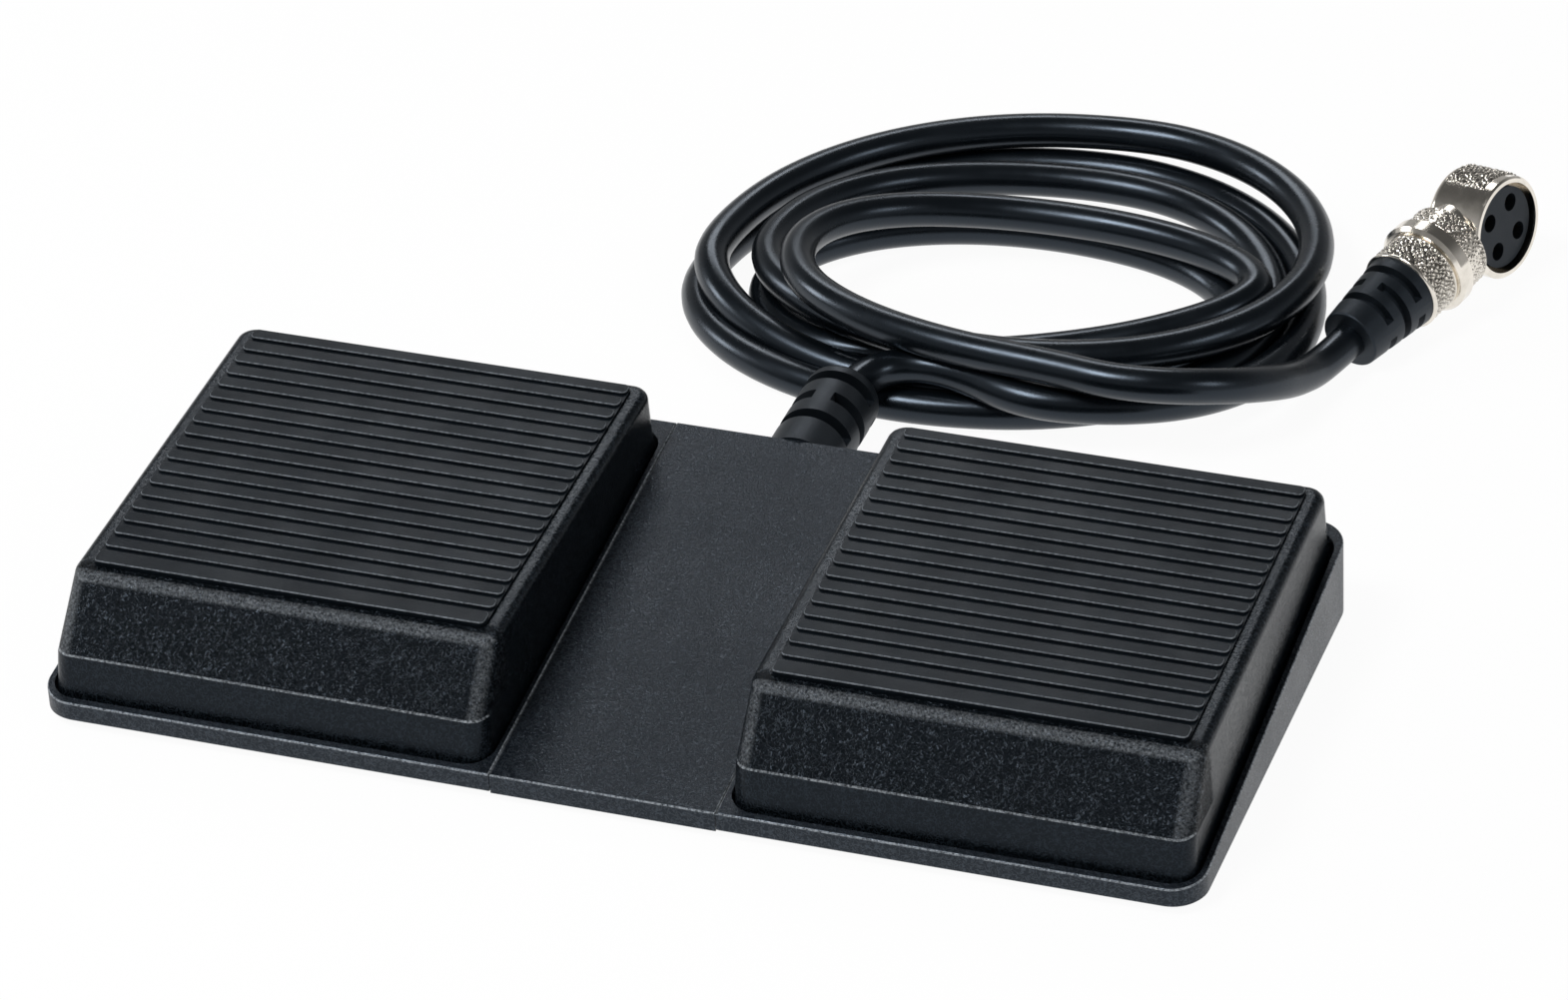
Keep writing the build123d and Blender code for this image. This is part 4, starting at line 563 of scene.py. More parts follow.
@dataclass(frozen=True)
class PlatedMetal(Finish):
    """Plated or drawn metal: a mirror blurred by fine scratches, with faint stains.

    Attributes:
        scratch_mm: Spacing of the fine scratches.
        depth_mm: Depth of the scratches.
        stain: sRGB hex colour of the faint stains.
        stain_mm: Size of the stains.
        stain_most: Greatest share of their colour.
        groove_shade: sRGB hex colour of the painted shade in the grooves of a knurl.
    """

    cast: str = "#ffffff"
    metallic: float = 1.0
    drift_mm: float = 4.0
    duller: float = 0.07
    scratch_mm: float = 0.25
    depth_mm: float = 0.002
    stain: str = "#a79f92"
    stain_mm: float = 4.0
    stain_most: float = 0.5
    groove_shade: str = "#2a2927"

    def dress(self, tree: Tree, coords: Socket) -> dict[str, Socket]:
        """Work out scratches, stains, uneven gloss and painted shade in the grooves.

        The grooves are read from the attribute "groove", which only knurled pieces have.

        Args:
            tree: The node tree.
            coords: Object coordinates.

        Returns:
            Sockets by the names of the shader's inputs.
        """
        stained = self.clouded(tree, coords, self.stain_mm, self.stain_most, self.stain)
        groove = add_node(tree, "ShaderNodeAttribute", attribute_name="groove")
        # painted shade in the knurl's grooves
        groove_shaded = add_node(tree, "ShaderNodeMix", {
            SHARE: groove.outputs["Fac"], COLOUR_A: stained, COLOUR_B: linear(self.groove_shade),
        }, data_type="RGBA")
        normal = fine_bump(tree, coords, self.scratch_mm, self.depth_mm, Detail=4.0, Roughness=0.7,
                           Distortion=0.4)
        return {"Base Color": groove_shaded.outputs[MIXED_COLOUR], "Roughness": self.gloss(tree, coords),
                "Normal": normal}


@dataclass(frozen=True)
class SmoothPlastic(Finish):
    """Plain moulded plastic from a fine mould: nearly smooth, with slight flow marks.

    Attributes:
        shade: sRGB hex colour of the flow marks, which are as large as the patches of gloss.
        shade_most: Greatest share of their colour.
        peel_mm: Width of the faint orange peel.
        peel_depth_mm: Height of the peel.
    """

    shade: str = "#2a2d31"
    shade_most: float = 0.5
    peel_mm: float = 0.5
    peel_depth_mm: float = 0.008

    def dress(self, tree: Tree, coords: Socket) -> dict[str, Socket]:
        """Work out the flow marks as colour and gloss, and the orange peel as a bump.

        Args:
            tree: The node tree.
            coords: Object coordinates.

        Returns:
            Sockets by the names of the shader's inputs.
        """
        return {"Base Color": self.clouded(tree, coords, self.drift_mm, self.shade_most, self.shade),
                "Roughness": self.gloss(tree, coords),
                "Normal": fine_bump(tree, coords, self.peel_mm, self.peel_depth_mm, Detail=2.0)}


# Rims and bridge: the edge of their tops, in one plane that rises from the front to the back, worn and
# painted pale as a highlight.
RIM_EDGE = WearAndHighlightEdge((("Z", 11.26, 11.54, 0.04),), slope=0.122)
# The line where the pedal's front breaks from a slope to an upright skirt, worn and painted pale as a
# highlight.
BREAK_EDGE = WearAndHighlightEdge((("Z", 13.1, 13.46, 0.04), ("Y", -BEYOND, -43.0, 0.3)))
# Above it, where the slope rounds into the top: a band of painted highlight.
CREST_EDGE = WearAndHighlightEdge((("Z", 24.3, 24.9, 0.7), ("Y", -BEYOND, -35.4, 0.3)), wear_and_highlight=0.48)
# The pedals' upright front corners: the outer two, and the two beside the bridge, with a painted highlight.
CORNERS = tuple(
    WearAndHighlightEdge((("X", near, near + 1.0, 1.2), ("Y", -BEYOND, -37.0, 1.2), ("Z", 13.5, 24.2, 0.3)), wear_and_highlight=0.34)
    for near in (105.0, 25.0)
)
# Tops of the tread's ribs, which rise to the back with the tread: their edges worn and painted pale as a
# highlight.
RIB_EDGE = WearAndHighlightEdge((("Z", 27.565, 27.825, 0.04),), slope=0.043)

# Each finish is named for its real material, and its comment says what that gives the eye.
FINISHES: dict[str, Finish] = {
    # black ABS from an etched mould: fine leather, dull satin, with ridge tops painted lighter and
    # rims painted pale as a highlight with their wear; the real grain is about 0.5 mm wide here and
    # below, and is drawn coarser so that it shows
    "base_plastic": GrainedPlastic(
        "abs_fine_leather_grain", "#0a0e13", roughness=0.36, specular=0.52, ior=1.54, grain_mm=0.75,
        depth_mm=0.04, pores=0.34, tops="#14191e", edges=(RIM_EDGE,),
    ),
    # the same ABS with a deeper grain on its front slope, which sparkles where it turns to the light,
    # and with painted highlights on its break, its crest and its front corners, the break worn as well
    "pedal_plastic": GrainedPlastic(
        "abs_deep_leather_grain", "#04070a", roughness=0.25, specular=0.35, ior=1.54, grain_mm=0.8,
        depth_mm=0.3, pores=0.09, tops="#1d2329", edges=(BREAK_EDGE, CREST_EDGE, *CORNERS),
        fine_share=0.14, coarse_front=-34.0, coarse_low=13.3,
    ),
    # ribbed rubber: dull, with a slight grey bloom, and rib edges worn and painted pale as a highlight
    "tread_rubber": MouldedRubber(
        "nitrile_rubber_tread", "#080c10", roughness=0.34, specular=0.1, ior=1.52, tooth_mm=0.45,
        depth_mm=0.03, dusty="#10161b", edges=(RIB_EDGE,),
    ),
    # plain rubber: matt and slightly dusty
    "foot_rubber": MouldedRubber(
        "nitrile_rubber_feet", "#1b1c1e", roughness=0.7, specular=0.3, ior=1.52, tooth_mm=0.5,
        depth_mm=0.03,
    ),
    "bumper_rubber": MouldedRubber(
        "neoprene_bumper", "#2a2b2d", roughness=0.72, specular=0.3, ior=1.52, tooth_mm=0.5,
        depth_mm=0.03,
    ),
    # ground and drawn steels: bright, with fine drawing marks
    "pin_steel": PlatedMetal("ground_steel", "#c9c9cb", roughness=0.25, scratch_mm=0.2),
    "clip_steel": PlatedMetal("spring_steel_clip", "#9fa0a4", roughness=0.32, scratch_mm=0.2),
    "spring_steel": PlatedMetal("music_wire", "#c3c4c8", roughness=0.28, scratch_mm=0.15),
    "screw_steel": PlatedMetal(
        "zinc_plated_steel", "#b9bcc0", roughness=0.3, scratch_mm=0.2, stain="#a9a48f",
    ),
    # hard plastics of the switch and wiring: even, with a soft sheen
    "switch_plastic": SmoothPlastic("phenolic_switch_case", "#1a1b1e", roughness=0.38, shade="#232428"),
    "button_plastic": SmoothPlastic("nylon_button", "#a8231d", roughness=0.4, shade="#8c1d18"),
    "block_plastic": SmoothPlastic("polyamide_terminal_block", "#d6d3c6", roughness=0.5, shade="#c8c4b4"),
    "clamp_plastic": SmoothPlastic("polyamide_clamp", "#1d1f22", roughness=0.5, shade="#26282c"),
    "lead_insulation": SmoothPlastic("vinyl_insulation", "#7c7f84", roughness=0.42, shade="#6f7277"),
    # bare brass: yellow, a little browned
    "terminal_brass": PlatedMetal(
        "bare_brass", "#c9a866", roughness=0.3, scratch_mm=0.2, stain="#a98746",
    ),
    # soft black vinyl of the strain reliefs: matt, and paler where it is handled
    "gland_rubber": MouldedRubber(
        "moulded_soft_vinyl", "#090c0f", roughness=0.46, specular=0.45, ior=1.53, tooth_mm=0.5,
        depth_mm=0.035, dusty="#12171b",
    ),
    # extruded vinyl jacket: satin, with long soft highlights
    "cord_jacket": MouldedRubber(
        "extruded_vinyl_jacket", "#05080b", roughness=0.27, specular=0.5, ior=1.53, tooth_mm=0.9,
        depth_mm=0.006, dusty="#0a0e12",
    ),
    # nickel plate on turned brass: warm silver, slightly blurred, with painted shade in its knurl grooves
    "plug_nickel": PlatedMetal(
        "nickel_plate", "#f0eae0", roughness=0.15, scratch_mm=0.3, depth_mm=0.0015, stain="#cfc9be",
    ),
    # filled nylon: dull black, without a grain
    "insert_plastic": SmoothPlastic(
        "glass_filled_polyamide_insert", "#0f1317", roughness=0.42, specular=0.28, shade="#171c21",
    ),
    # thin gold plate, seen deep in the holes: dull yellow
    "contact_gold": PlatedMetal(
        "gold_plate", "#8a7444", roughness=0.3, scratch_mm=0.2, stain="#6d5b34",
    ),
}


class Paints:
    """The materials of all finishes, each built once."""

    def __init__(self) -> None:
        """Build one material for each of the record's slots."""
        self.materials = {slot: finish.material() for slot, finish in FINISHES.items()}
        self.slots = {entry["node"]: entry["material_slot"] for entry in frame["record"]["subparts"]}

    def dress_nodes(self, *names: str) -> None:
        """Give CAD nodes the finish of their own slot.

        Args:
            *names: The nodes' names.
        """
        for name in names:
            node = frame["nodes"][name]
            for material_slot in node.material_slots:
                material_slot.material = self.materials[self.slots[name]]
            log.info("node %s: %s", name, FINISHES[self.slots[name]].name)

    def finish_piece(self, piece: Piece, slot: str, *replaced: str) -> None:
        """Give a new piece its finish, and hide the CAD nodes that it replaces.

        Args:
            piece: The new object.
            slot: The record's material slot that it takes its finish from.
            *replaced: CAD nodes that it replaces.
        """
        piece.data.materials.clear()
        piece.data.materials.append(self.materials[slot])
        if replaced:
            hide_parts(*replaced)
        log.info("piece %s: %s", piece.name, FINISHES[slot].name)

    def dress_piece(self, piece: Piece, slot: str, body: str, *replaced: str) -> None:
        """Finish a new rigid piece, and let it ride on a body.

        Args:
            piece: The new object.
            slot: The record's material slot that it takes its finish from.
            body: The body that it moves with.
            *replaced: CAD nodes that it replaces.
        """
        self.finish_piece(piece, slot, *replaced)
        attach(piece, body)


# Sub-assemblies


@dataclass
class Base:
    """Two trays joined by a bridge, on eight rubber feet."""

    nodes: tuple[str, ...] = ("left_tray", "right_tray", "left_feet", "right_feet", "bridge_cover",
                              "bridge_floor", "tie_screws", "floor_screws")

    def dress(self, paints: Paints) -> None:
        """Give the trays, the bridge, the feet and the screws their finishes."""
        paints.dress_nodes(*self.nodes)


@dataclass
class ReturnSpring:
    """Coil spring between the tray's floor and the pedal's underside.

    Lengths are in millimetres.

    Attributes:
        x: Where its axis stands, along X.
        y: Where it stands, along Y.
        low: Height of the wire's middle at the foot.
        high: Height of the wire's middle at the top.
        foot_end: Top of the tray's spigot; not used.
        head_start: Foot of the pedal's spigot; not used.
        coil_radius: Radius of the coil at the wire's middle.
        wire_radius: Radius of the wire.
        turns: Number of turns.
        steps: Points along each turn.
        sides: Points round the wire.
    """

    x: float
    y: float = 28.0
    low: float = 4.0
    high: float = 25.09
    foot_end: float = 7.0
    head_start: float = 22.0
    coil_radius: float = 3.55
    wire_radius: float = 0.45
    turns: int = 7
    steps: int = 24
    sides: int = 12

    def build(self, name: str) -> Piece:
        """Make the wire: a circle swept along a helix, with flat ends.

        With the angle a, the helix is at (cos a, sin a) times the coil's radius and rises evenly.
        The circle lies between the outward direction and the one that is square to it and to the
        helix.

        Args:
            name: The piece's name.

        Returns:
            The spring at rest.
        """
        angle = np.linspace(0, 2 * math.pi * self.turns, self.steps * self.turns + 1)
        outward = np.stack([np.cos(angle), np.sin(angle), np.zeros_like(angle)], axis=1)
        rise = (self.high - self.low) / angle[-1]
        along = np.stack([-self.coil_radius * np.sin(angle), self.coil_radius * np.cos(angle),
                          np.full_like(angle, rise)], axis=1)
        square = np.cross(along / np.linalg.norm(along[0]), outward)
        middle = np.array([self.x, self.y, self.low]) + outward * self.coil_radius
        middle[:, 2] += rise * angle
        turn = np.arange(self.sides) * 2 * math.pi / self.sides
        ring = np.cos(turn)[:, None] * outward[:, None] + np.sin(turn)[:, None] * square[:, None]
        wire = middle[:, None] + ring * self.wire_radius
        ends = np.repeat(middle[[0, -1], None], self.sides, axis=1)
        points = np.concatenate([ends[:1], wire, ends[1:]])
        return grid_piece(name, points * MM, around=True, along=False)

    def press(self, spring: Piece) -> None:
        """Bake the finished spring's place into its mesh, where it stays at rest.

        Args:
            spring: The spring that was built.
        """
        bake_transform(spring)


@dataclass
class PedalUnit:
    """One pedal with its tread, hinge, springs, bumper and switch.

    Attributes:
        side: Which of the two units it is.
        moving: Nodes that tilt with the pedal.
        fixed: Nodes that stay in the tray.
        spring_places: Distance of each return spring from the middle of the base, in millimetres.
    """

    side: Side
    moving: tuple[str, ...] = ("pedal", "tread", "switch_lever", "switch_button")
    fixed: tuple[str, ...] = ("hinge_pin", "pin_clips", "bumper", "switch_case", "switch_terminals",
                              "switch_screws", "leads")
    spring_places: tuple[tuple[str, float], ...] = (("inner", 41.75), ("outer", 89.75))

    def dress(self, paints: Paints) -> None:
        """Give every node of this unit its finish.

        Args:
            paints: The materials.
        """
        paints.dress_nodes(*(f"{self.side.value}_{name}" for name in self.moving + self.fixed))

    def build(self, paints: Paints) -> None:
        """Build the return springs, which stand for the plain ones.

        Args:
            paints: The materials.
        """
        side = self.side.value
        sign = -1 if self.side is Side.LEFT else 1
        for place, distance in self.spring_places:
            coil = ReturnSpring(sign * distance)
            spring = coil.build(f"{side}_return_spring_{place}")
            paints.finish_piece(spring, "spring_steel", f"{side}_return_springs")
            coil.press(spring)


@dataclass
class Wiring:
    """The terminal block, the cord's clamp and the wires between them."""

    nodes: tuple[str, ...] = ("terminal_block", "terminal_screws", "cord_clamp", "clamp_screws",
                              "conductors", "cord_tail")

    def dress(self, paints: Paints) -> None:
        """Give the wiring inside the bridge its finishes."""
        paints.dress_nodes(*self.nodes)


@dataclass
class Plug:
    """Round right-angle plug: boot, clamp nut, collar, knurled band and a round head.

    Its local frame starts at the cord end of the boot, with Z along the boot and X towards the
    mouth. Lengths are in millimetres and angles in degrees. The real knurl's pitch is about 1 mm,
    and it is drawn at 1.3 mm so that it shows.
    """

    place: tuple[float, float, float] = (88.2, 128.4, 6.2)
    yaw: float = 20.7
    rise: float = 8.4
    roll: float = 7.7
    mouth_along: float = 42.7
    boot_length: float = 17.0
    core_radius: float = 6.4
    nut_length: float = 7.5
    nut_radius: float = 8.5
    nut_rim: float = 0.9
    collar_length: float = 4.0
    # the body's neck, and the band round it: how far it stands over the neck, goes into it and
    # stays off the neck's two ends
    band_length: float = 5.5
    band_radius: float = 8.8
    band_proud: float = 0.25
    band_sunk: float = 0.4
    band_start: float = 0.15
    band_end: float = 0.3
    band_rim: float = 0.3
    head_radius: float = 10.3
    head_back: float = 5.0
    head_front: float = 7.9
    # the patch of knurl on the head: half its arc, the smooth rims behind and before it, how deep
    # and over what width its borders sink in (in radians at the arc's ends), and its wall
    patch_angle: float = 104.0
    patch_back: float = 1.3
    patch_front: float = 1.9
    patch_sunk: float = 0.12
    patch_fade: float = 0.5
    patch_fade_angle: float = 0.06
    patch_wall: float = 0.4
    # the knurl, the powers that round its tops and narrow the painted shade of its grooves, and its uneven
    # waves: height in pitches, turns per millimetre round and along the surface, and start
    knurl_pitch: float = 1.3
    knurl_depth: float = 0.48
    knurl_round: float = 0.55
    groove_dark: float = 1.4
    waves: tuple[tuple[float, float, float, float], ...] = (
        (0.16, 1.9, 1.3, 0.0), (0.13, -1.1, 2.7, 1.0), (0.14, 2.3, -0.9, 0.0),
    )
    # a ring's rounded edges, their width, and the share of a rim that stays quite smooth
    edge_round: float = 0.25
    edge_reach: float = 0.3
    plain_rim: float = 0.6
    sample: float = 0.115
    nodes: tuple[str, ...] = ("plug_boot", "plug_nut", "plug_collar", "plug_body", "plug_insert",
                              "plug_contacts")

    def axes(self) -> tuple[np.ndarray, np.ndarray, np.ndarray]:
        """Unit vectors of the local frame.

        The boot's axis is +Y turned by the yaw and raised by the rise, and the mouth's axis is the
        level direction to its right, rolled upwards about the boot's axis.

        Returns:
            The directions of local X (mouth), Y and Z (boot).
        """
        yaw, rise, roll = (math.radians(angle) for angle in (self.yaw, self.rise, self.roll))
        along = np.array([math.sin(yaw) * math.cos(rise), math.cos(yaw) * math.cos(rise), math.sin(rise)])
        level = np.array([math.cos(yaw), -math.sin(yaw), 0.0])
        mouth = level * math.cos(roll) + np.cross(level, along) * math.sin(roll)
        return mouth, np.cross(along, mouth), along

    def to_world(self, local: np.ndarray) -> np.ndarray:
        """Carry local points in millimetres into the scene, in metres."""
        return (np.array(self.place) + local @ np.stack(self.axes())) * MM

    def knurl(self, across: np.ndarray, along: np.ndarray) -> np.ndarray:
        """Height of a worn diamond knurl, from 0 in the grooves to 1 on the tops.

        Two families of grooves cross at a right angle. The height is the smaller of the distances
        to the nearest groove of each family, rounded by a power, and slow sine waves shift the
        grooves a little so that the diamonds are uneven, as rolled knurls are.

        Args:
            across: Distance round the surface, in millimetres.
            along: Distance along the surface, in millimetres.

        Returns:
            Heights from 0 to 1.
        """
        sway, swell, slip = (
            height * np.sin(turns * across + rises * along + start)
            for height, turns, rises, start in self.waves
        )
        u = across / self.knurl_pitch + (sway + swell)
        v = along / self.knurl_pitch + slip
        first = 1 - np.abs(2 * np.mod(u + v, 1) - 1)
        second = 1 - np.abs(2 * np.mod(u - v, 1) - 1)
        return np.minimum(first, second) ** self.knurl_round

    def knurled_ring(self, name: str, low: float, high: float, radius: float, inner: float,
                     rim: float) -> Piece:
        """Make a ring round the boot's axis whose outside is knurled between two smooth rims.

        The section is a closed loop: out along the low end, up the knurled outside, and back down
        the inside. A point of the outside lies at the radius less the knurl's depth times one less
        its height, and the rims fade to the plain radius with a small rounded edge.

        Args:
            name: The piece's name.
            low: Start along the boot's axis.
            high: End along the boot's axis.
            radius: Outer radius.
            inner: Bore radius.
            rim: Width of each smooth rim.

        Returns:
            The closed ring.
        """
        whole = round(2 * math.pi * radius / self.knurl_pitch) * self.knurl_pitch
        count = round(2 * math.pi * radius / self.sample)
        angle = np.arange(count) * 2 * math.pi / count
        along = np.linspace(low, high, round((high - low) / self.sample))
        turn, run = np.meshgrid(angle, along)
        plain = self.plain_rim * rim
        fade = smoothstep(low + plain, low + rim, run) * smoothstep(-high + plain, -high + rim, -run)
        height = self.knurl(turn / (2 * math.pi) * whole, run - low)
        ends = np.minimum(run - low, high - run)
        rounding = self.edge_round * (1 - smoothstep(0, self.edge_reach, ends))
        outside = radius - fade * self.knurl_depth * (1 - height) - rounding
        bore = np.full((1, count), inner)
        reach = np.concatenate([bore, outside, bore])
        heights = np.concatenate([[low], along, [high]])
        local = np.stack([reach * np.cos(angle), reach * np.sin(angle),
                          np.broadcast_to(heights[:, None], reach.shape)], axis=-1)
        # share of painted shade in the knurl's grooves, from 0 to 1
        groove = np.zeros_like(reach)
        groove[1:-1] = fade * (1 - height) ** self.groove_dark
        return grid_piece(name, self.to_world(local), around=True, along=True, groove=groove)

    def knurled_head(self) -> Piece:
        """Make the knurled patch on the side of the round head that faces away from the boot.

        The patch covers an arc about the mouth's axis. Its height over the head's side is the
        knurl times a fade that falls below the side at all four borders, so its edges sink in.

        Returns:
            The patch, thickened inwards.
        """
        half = math.radians(self.patch_angle)
        low, high = self.patch_back - self.head_back, self.head_front - self.patch_front
        turn = np.linspace(-half, half, round(2 * half * self.head_radius / self.sample))
        run = np.linspace(low, high, round((high - low) / self.sample))
        angle, along = np.meshgrid(turn, run)
        sides = smoothstep(0, self.patch_fade, along - low) * smoothstep(0, self.patch_fade, high - along)
        border = np.minimum(sides, smoothstep(0, self.patch_fade_angle, half - np.abs(angle)))
        height = self.knurl(angle * self.head_radius, along - low)
        reach = self.head_radius - self.patch_sunk + border * (self.patch_sunk + self.knurl_depth * height)
        local = np.stack([along, reach * np.sin(angle), self.mouth_along + reach * np.cos(angle)], axis=-1)
        # the groove attribute carries the painted shade in the knurl's grooves
        piece = grid_piece("plug_head_knurl", self.to_world(local), around=False, along=False,
                           groove=border * (1 - height) ** self.groove_dark)
        wall = piece.modifiers.new("wall", "SOLIDIFY")
        wall.thickness = self.patch_wall * MM
        wall.offset = -1
        return piece

    def build(self, paints: Paints) -> list[Piece]:
        """Build the knurled pieces and dress the plug's nodes.

        Args:
            paints: The materials.

        Returns:
            The new pieces.
        """
        paints.dress_nodes(*self.nodes)
        nut_end = self.boot_length + self.nut_length
        nut = self.knurled_ring("plug_nut_knurled", self.boot_length, nut_end, self.nut_radius,
                                self.core_radius, self.nut_rim)
        neck = nut_end + self.collar_length
        band_piece = self.knurled_ring("plug_band_knurl", neck + self.band_start,
                                       neck + self.band_length - self.band_end,
                                       self.band_radius + self.band_proud,
                                       self.band_radius - self.band_sunk, self.band_rim)
        head = self.knurled_head()
        paints.dress_piece(nut, "plug_nickel", "base", "plug_nut")
        paints.dress_piece(band_piece, "plug_nickel", "base")
        paints.dress_piece(head, "plug_nickel", "base")
        return [nut, band_piece, head]


@dataclass
class CoiledCord:
    """The cord: out of the base through its gland, five loose turns on the floor, and on to the plug.

    Each turn is given by its outermost points at the front, right, back and left, with the height
    there and the fullness of the quarter that follows. Lengths are in millimetres.
    """

    radius: float = 3.5
    steps: int = 4
    lead_in: tuple[tuple[float, float, float], ...] = (
        (2.3, 50.0, 10.7), (2.3, 63.0, 10.7), (2.3, 76.0, 10.7),
        (3.6, 85.0, 10.7), (10.0, 91.0, 10.7), (21.0, 91.0, 10.6),
    )
    turns: tuple[tuple[tuple[float, float, float, float], ...], ...] = (
        ((36.0, 84.5, 10.5, 2.0), (78.5, 131.0, 3.5, 2.0),
         (24.0, 183.3, 3.5, 2.0), (-44.0, 124.0, 3.5, 2.0)),
        ((10.0, 87.0, 3.5, 2.0), (71.5, 131.0, 3.5, 2.0),
         (27.5, 174.7, 4.8, 2.0), (-31.0, 128.5, 10.5, 2.0)),
        ((23.0, 98.5, 10.5, 2.0), (77.0, 143.0, 10.5, 2.0),
         (29.5, 186.5, 10.5, 2.0), (-41.5, 124.7, 10.5, 2.0)),
        ((9.0, 94.0, 3.5, 1.7), (65.0, 128.0, 3.5, 2.2),
         (19.0, 156.0, 3.5, 2.0), (-30.0, 125.0, 3.5, 2.0)),
        ((-5.0, 103.0, 3.5, 1.7), (68.5, 133.5, 10.5, 2.0),
         (25.5, 150.8, 10.5, 2.0), (-21.7, 119.0, 16.3, 2.0)),
    )
    plug_lead: tuple[tuple[float, float, float], ...] = (
        (42.0, 87.0, 17.5), (53.0, 85.2, 17.5), (64.5, 86.8, 17.2),
        (74.0, 93.0, 15.0), (79.5, 101.5, 11.3), (82.6, 111.0, 7.0),
    )
    boot_run: float = 9.0
    samples: int = 16
    replaced: tuple[str, ...] = ("cord_lead", "cord_coil", "plug_lead")

    def quarter(self, first: Sequence[float], last: Sequence[float], upright: bool) -> np.ndarray:
        """Route points of a quarter turn, from one outermost point up to the next.

        The quarter is a superellipse: with the angle going from 0 to a right angle, one share is
        the angle's sine and the other is 1 less its cosine, each raised to 2 over the fullness.
        The height eases from the first to the last with half of 1 less the cosine of twice the
        angle.

        Args:
            first: x, y, z and fullness of the point where it starts.
            last: x, y and z of the point where it ends.
            upright: Whether it starts off along Y rather than along X.

        Returns:
            One row for each point, without the last.
        """
        angle = np.arange(self.steps) * math.pi / 2 / self.steps
        power = 2 / first[3]
        along, across = np.sin(angle) ** power, 1 - np.cos(angle) ** power
        run, rise = (across, along) if upright else (along, across)
        lift = (1 - np.cos(2 * angle)) / 2
        shares = np.stack([run, rise, lift], axis=1)
        start = np.array(first[:3])
        return start + (np.array(last[:3]) - start) * shares

    def route(self, plug: Plug) -> np.ndarray:
        """Control points of the whole cord, in millimetres, from the base's back wall to the plug.

        Args:
            plug: The plug that the cord ends in.

        Returns:
            One row for each point.
        """
        extremes = [point for turn in self.turns for point in turn] + [self.plug_lead[0]]
        quarters = [
            self.quarter(first, last, number % 2 == 1)
            for number, (first, last) in enumerate(zip(extremes, extremes[1:]))
        ]
        place = np.array(plug.place)
        before_boot = place - plug.axes()[2] * self.boot_run
        into_boot = place + plug.axes()[2]
        return np.concatenate([self.lead_in, *quarters, self.plug_lead, [before_boot, into_boot]])

    def build(self, paints: Paints, plug: Plug, plug_pieces: Sequence[Piece]) -> Piece:
        """Args:
            paints: The materials.
            plug: The plug that the cord ends in.
            plug_pieces: The new pieces on the plug; not used.

        Returns:
            The cord's curve object.
        """
        points = self.route(plug) * MM
        curve = bpy.data.curves.new("cord", "CURVE")
        curve.dimensions = "3D"
        spline = curve.splines.new("NURBS")
        spline.points.add(len(points) - 1)
        spline.points.foreach_set("co", np.column_stack([points, np.ones(len(points))]).ravel())
        spline.order_u = 3
        spline.use_endpoint_u = True
        curve.resolution_u = 10
        curve.bevel_depth = self.radius * MM
        curve.bevel_resolution = 8
        curve.use_fill_caps = True
        cord = bpy.data.objects.new("cord", curve)
        bpy.context.scene.collection.objects.link(cord)
        paints.dress_nodes("cord_gland")
        paints.dress_piece(cord, "cord_jacket", "base", *self.replaced)
        return cord


# Studio


@dataclass
class PhotoCamera:
    """The photograph's camera, solved from the base's straight edges.

    Attributes:
        place: Where it stands, in metres.
        target: The point that it faces, in metres.
        roll: Its turn about its own axis, in degrees.
        focal_pixels: Its focal length in pixels of the photograph.
        sensor: Width of its sensor, in millimetres.
        near: Nearest distance that it sees, in metres.
        reach: Farthest distance that it sees, in metres.
    """

    place: tuple[float, float, float] = (0.378949, -0.937180, 0.703201)
    target: tuple[float, float, float] = (0.003547, 0.038949, 0.0115)
    roll: float = -3.2
    focal_pixels: float = 6724.628
    sensor: float = 36.0
    near: float = 0.01
    reach: float = 50.0

    def build(self) -> Piece:
        """Create the camera and make it the scene's own.

        Returns:
            The camera object.
        """
        backward = (Vector(self.place) - Vector(self.target)).normalized()
        level = Vector((0, 0, 1)).cross(backward).normalized()
        upward = backward.cross(level)
        turn = math.radians(self.roll)
        right = level * math.cos(turn) + upward * math.sin(turn)
        up = upward * math.cos(turn) - level * math.sin(turn)
        data = bpy.data.cameras.new("photo_camera")
        data.sensor_fit = "HORIZONTAL"
        data.sensor_width = self.sensor
        data.lens = self.focal_pixels * self.sensor / PHOTO_SIZE[0]
        data.clip_start = self.near
        data.clip_end = self.reach
        camera = bpy.data.objects.new("photo_camera", data)
        bpy.context.scene.collection.objects.link(camera)
        turned = Matrix((right, up, backward)).transposed().to_4x4()
        camera.matrix_world = Matrix.Translation(self.place) @ turned
        bpy.context.scene.camera = camera
        log.info("camera: %.1f mm lens", data.lens)
        return camera


@dataclass
class Softbox:
    """A rectangular lamp that faces a point of the object. Lengths are in metres, power in watts."""

    name: str
    place: tuple[float, float, float]
    size: tuple[float, float]
    power: float
    target: tuple[float, float, float] = (0.0, 0.03, 0.0)

    def build(self) -> Piece:
        """Create the lamp, turned so that it faces its target.

        Returns:
            The lamp's object.
        """
        data = bpy.data.lights.new(self.name, "AREA")
        data.shape = "RECTANGLE"
        data.size, data.size_y = self.size
        data.energy = self.power
        lamp = bpy.data.objects.new(self.name, data)
        bpy.context.scene.collection.objects.link(lamp)
        lamp.location = self.place
        facing = Vector(self.target) - Vector(self.place)
        lamp.rotation_euler = facing.to_track_quat("-Z", "Y").to_euler()
        return lamp


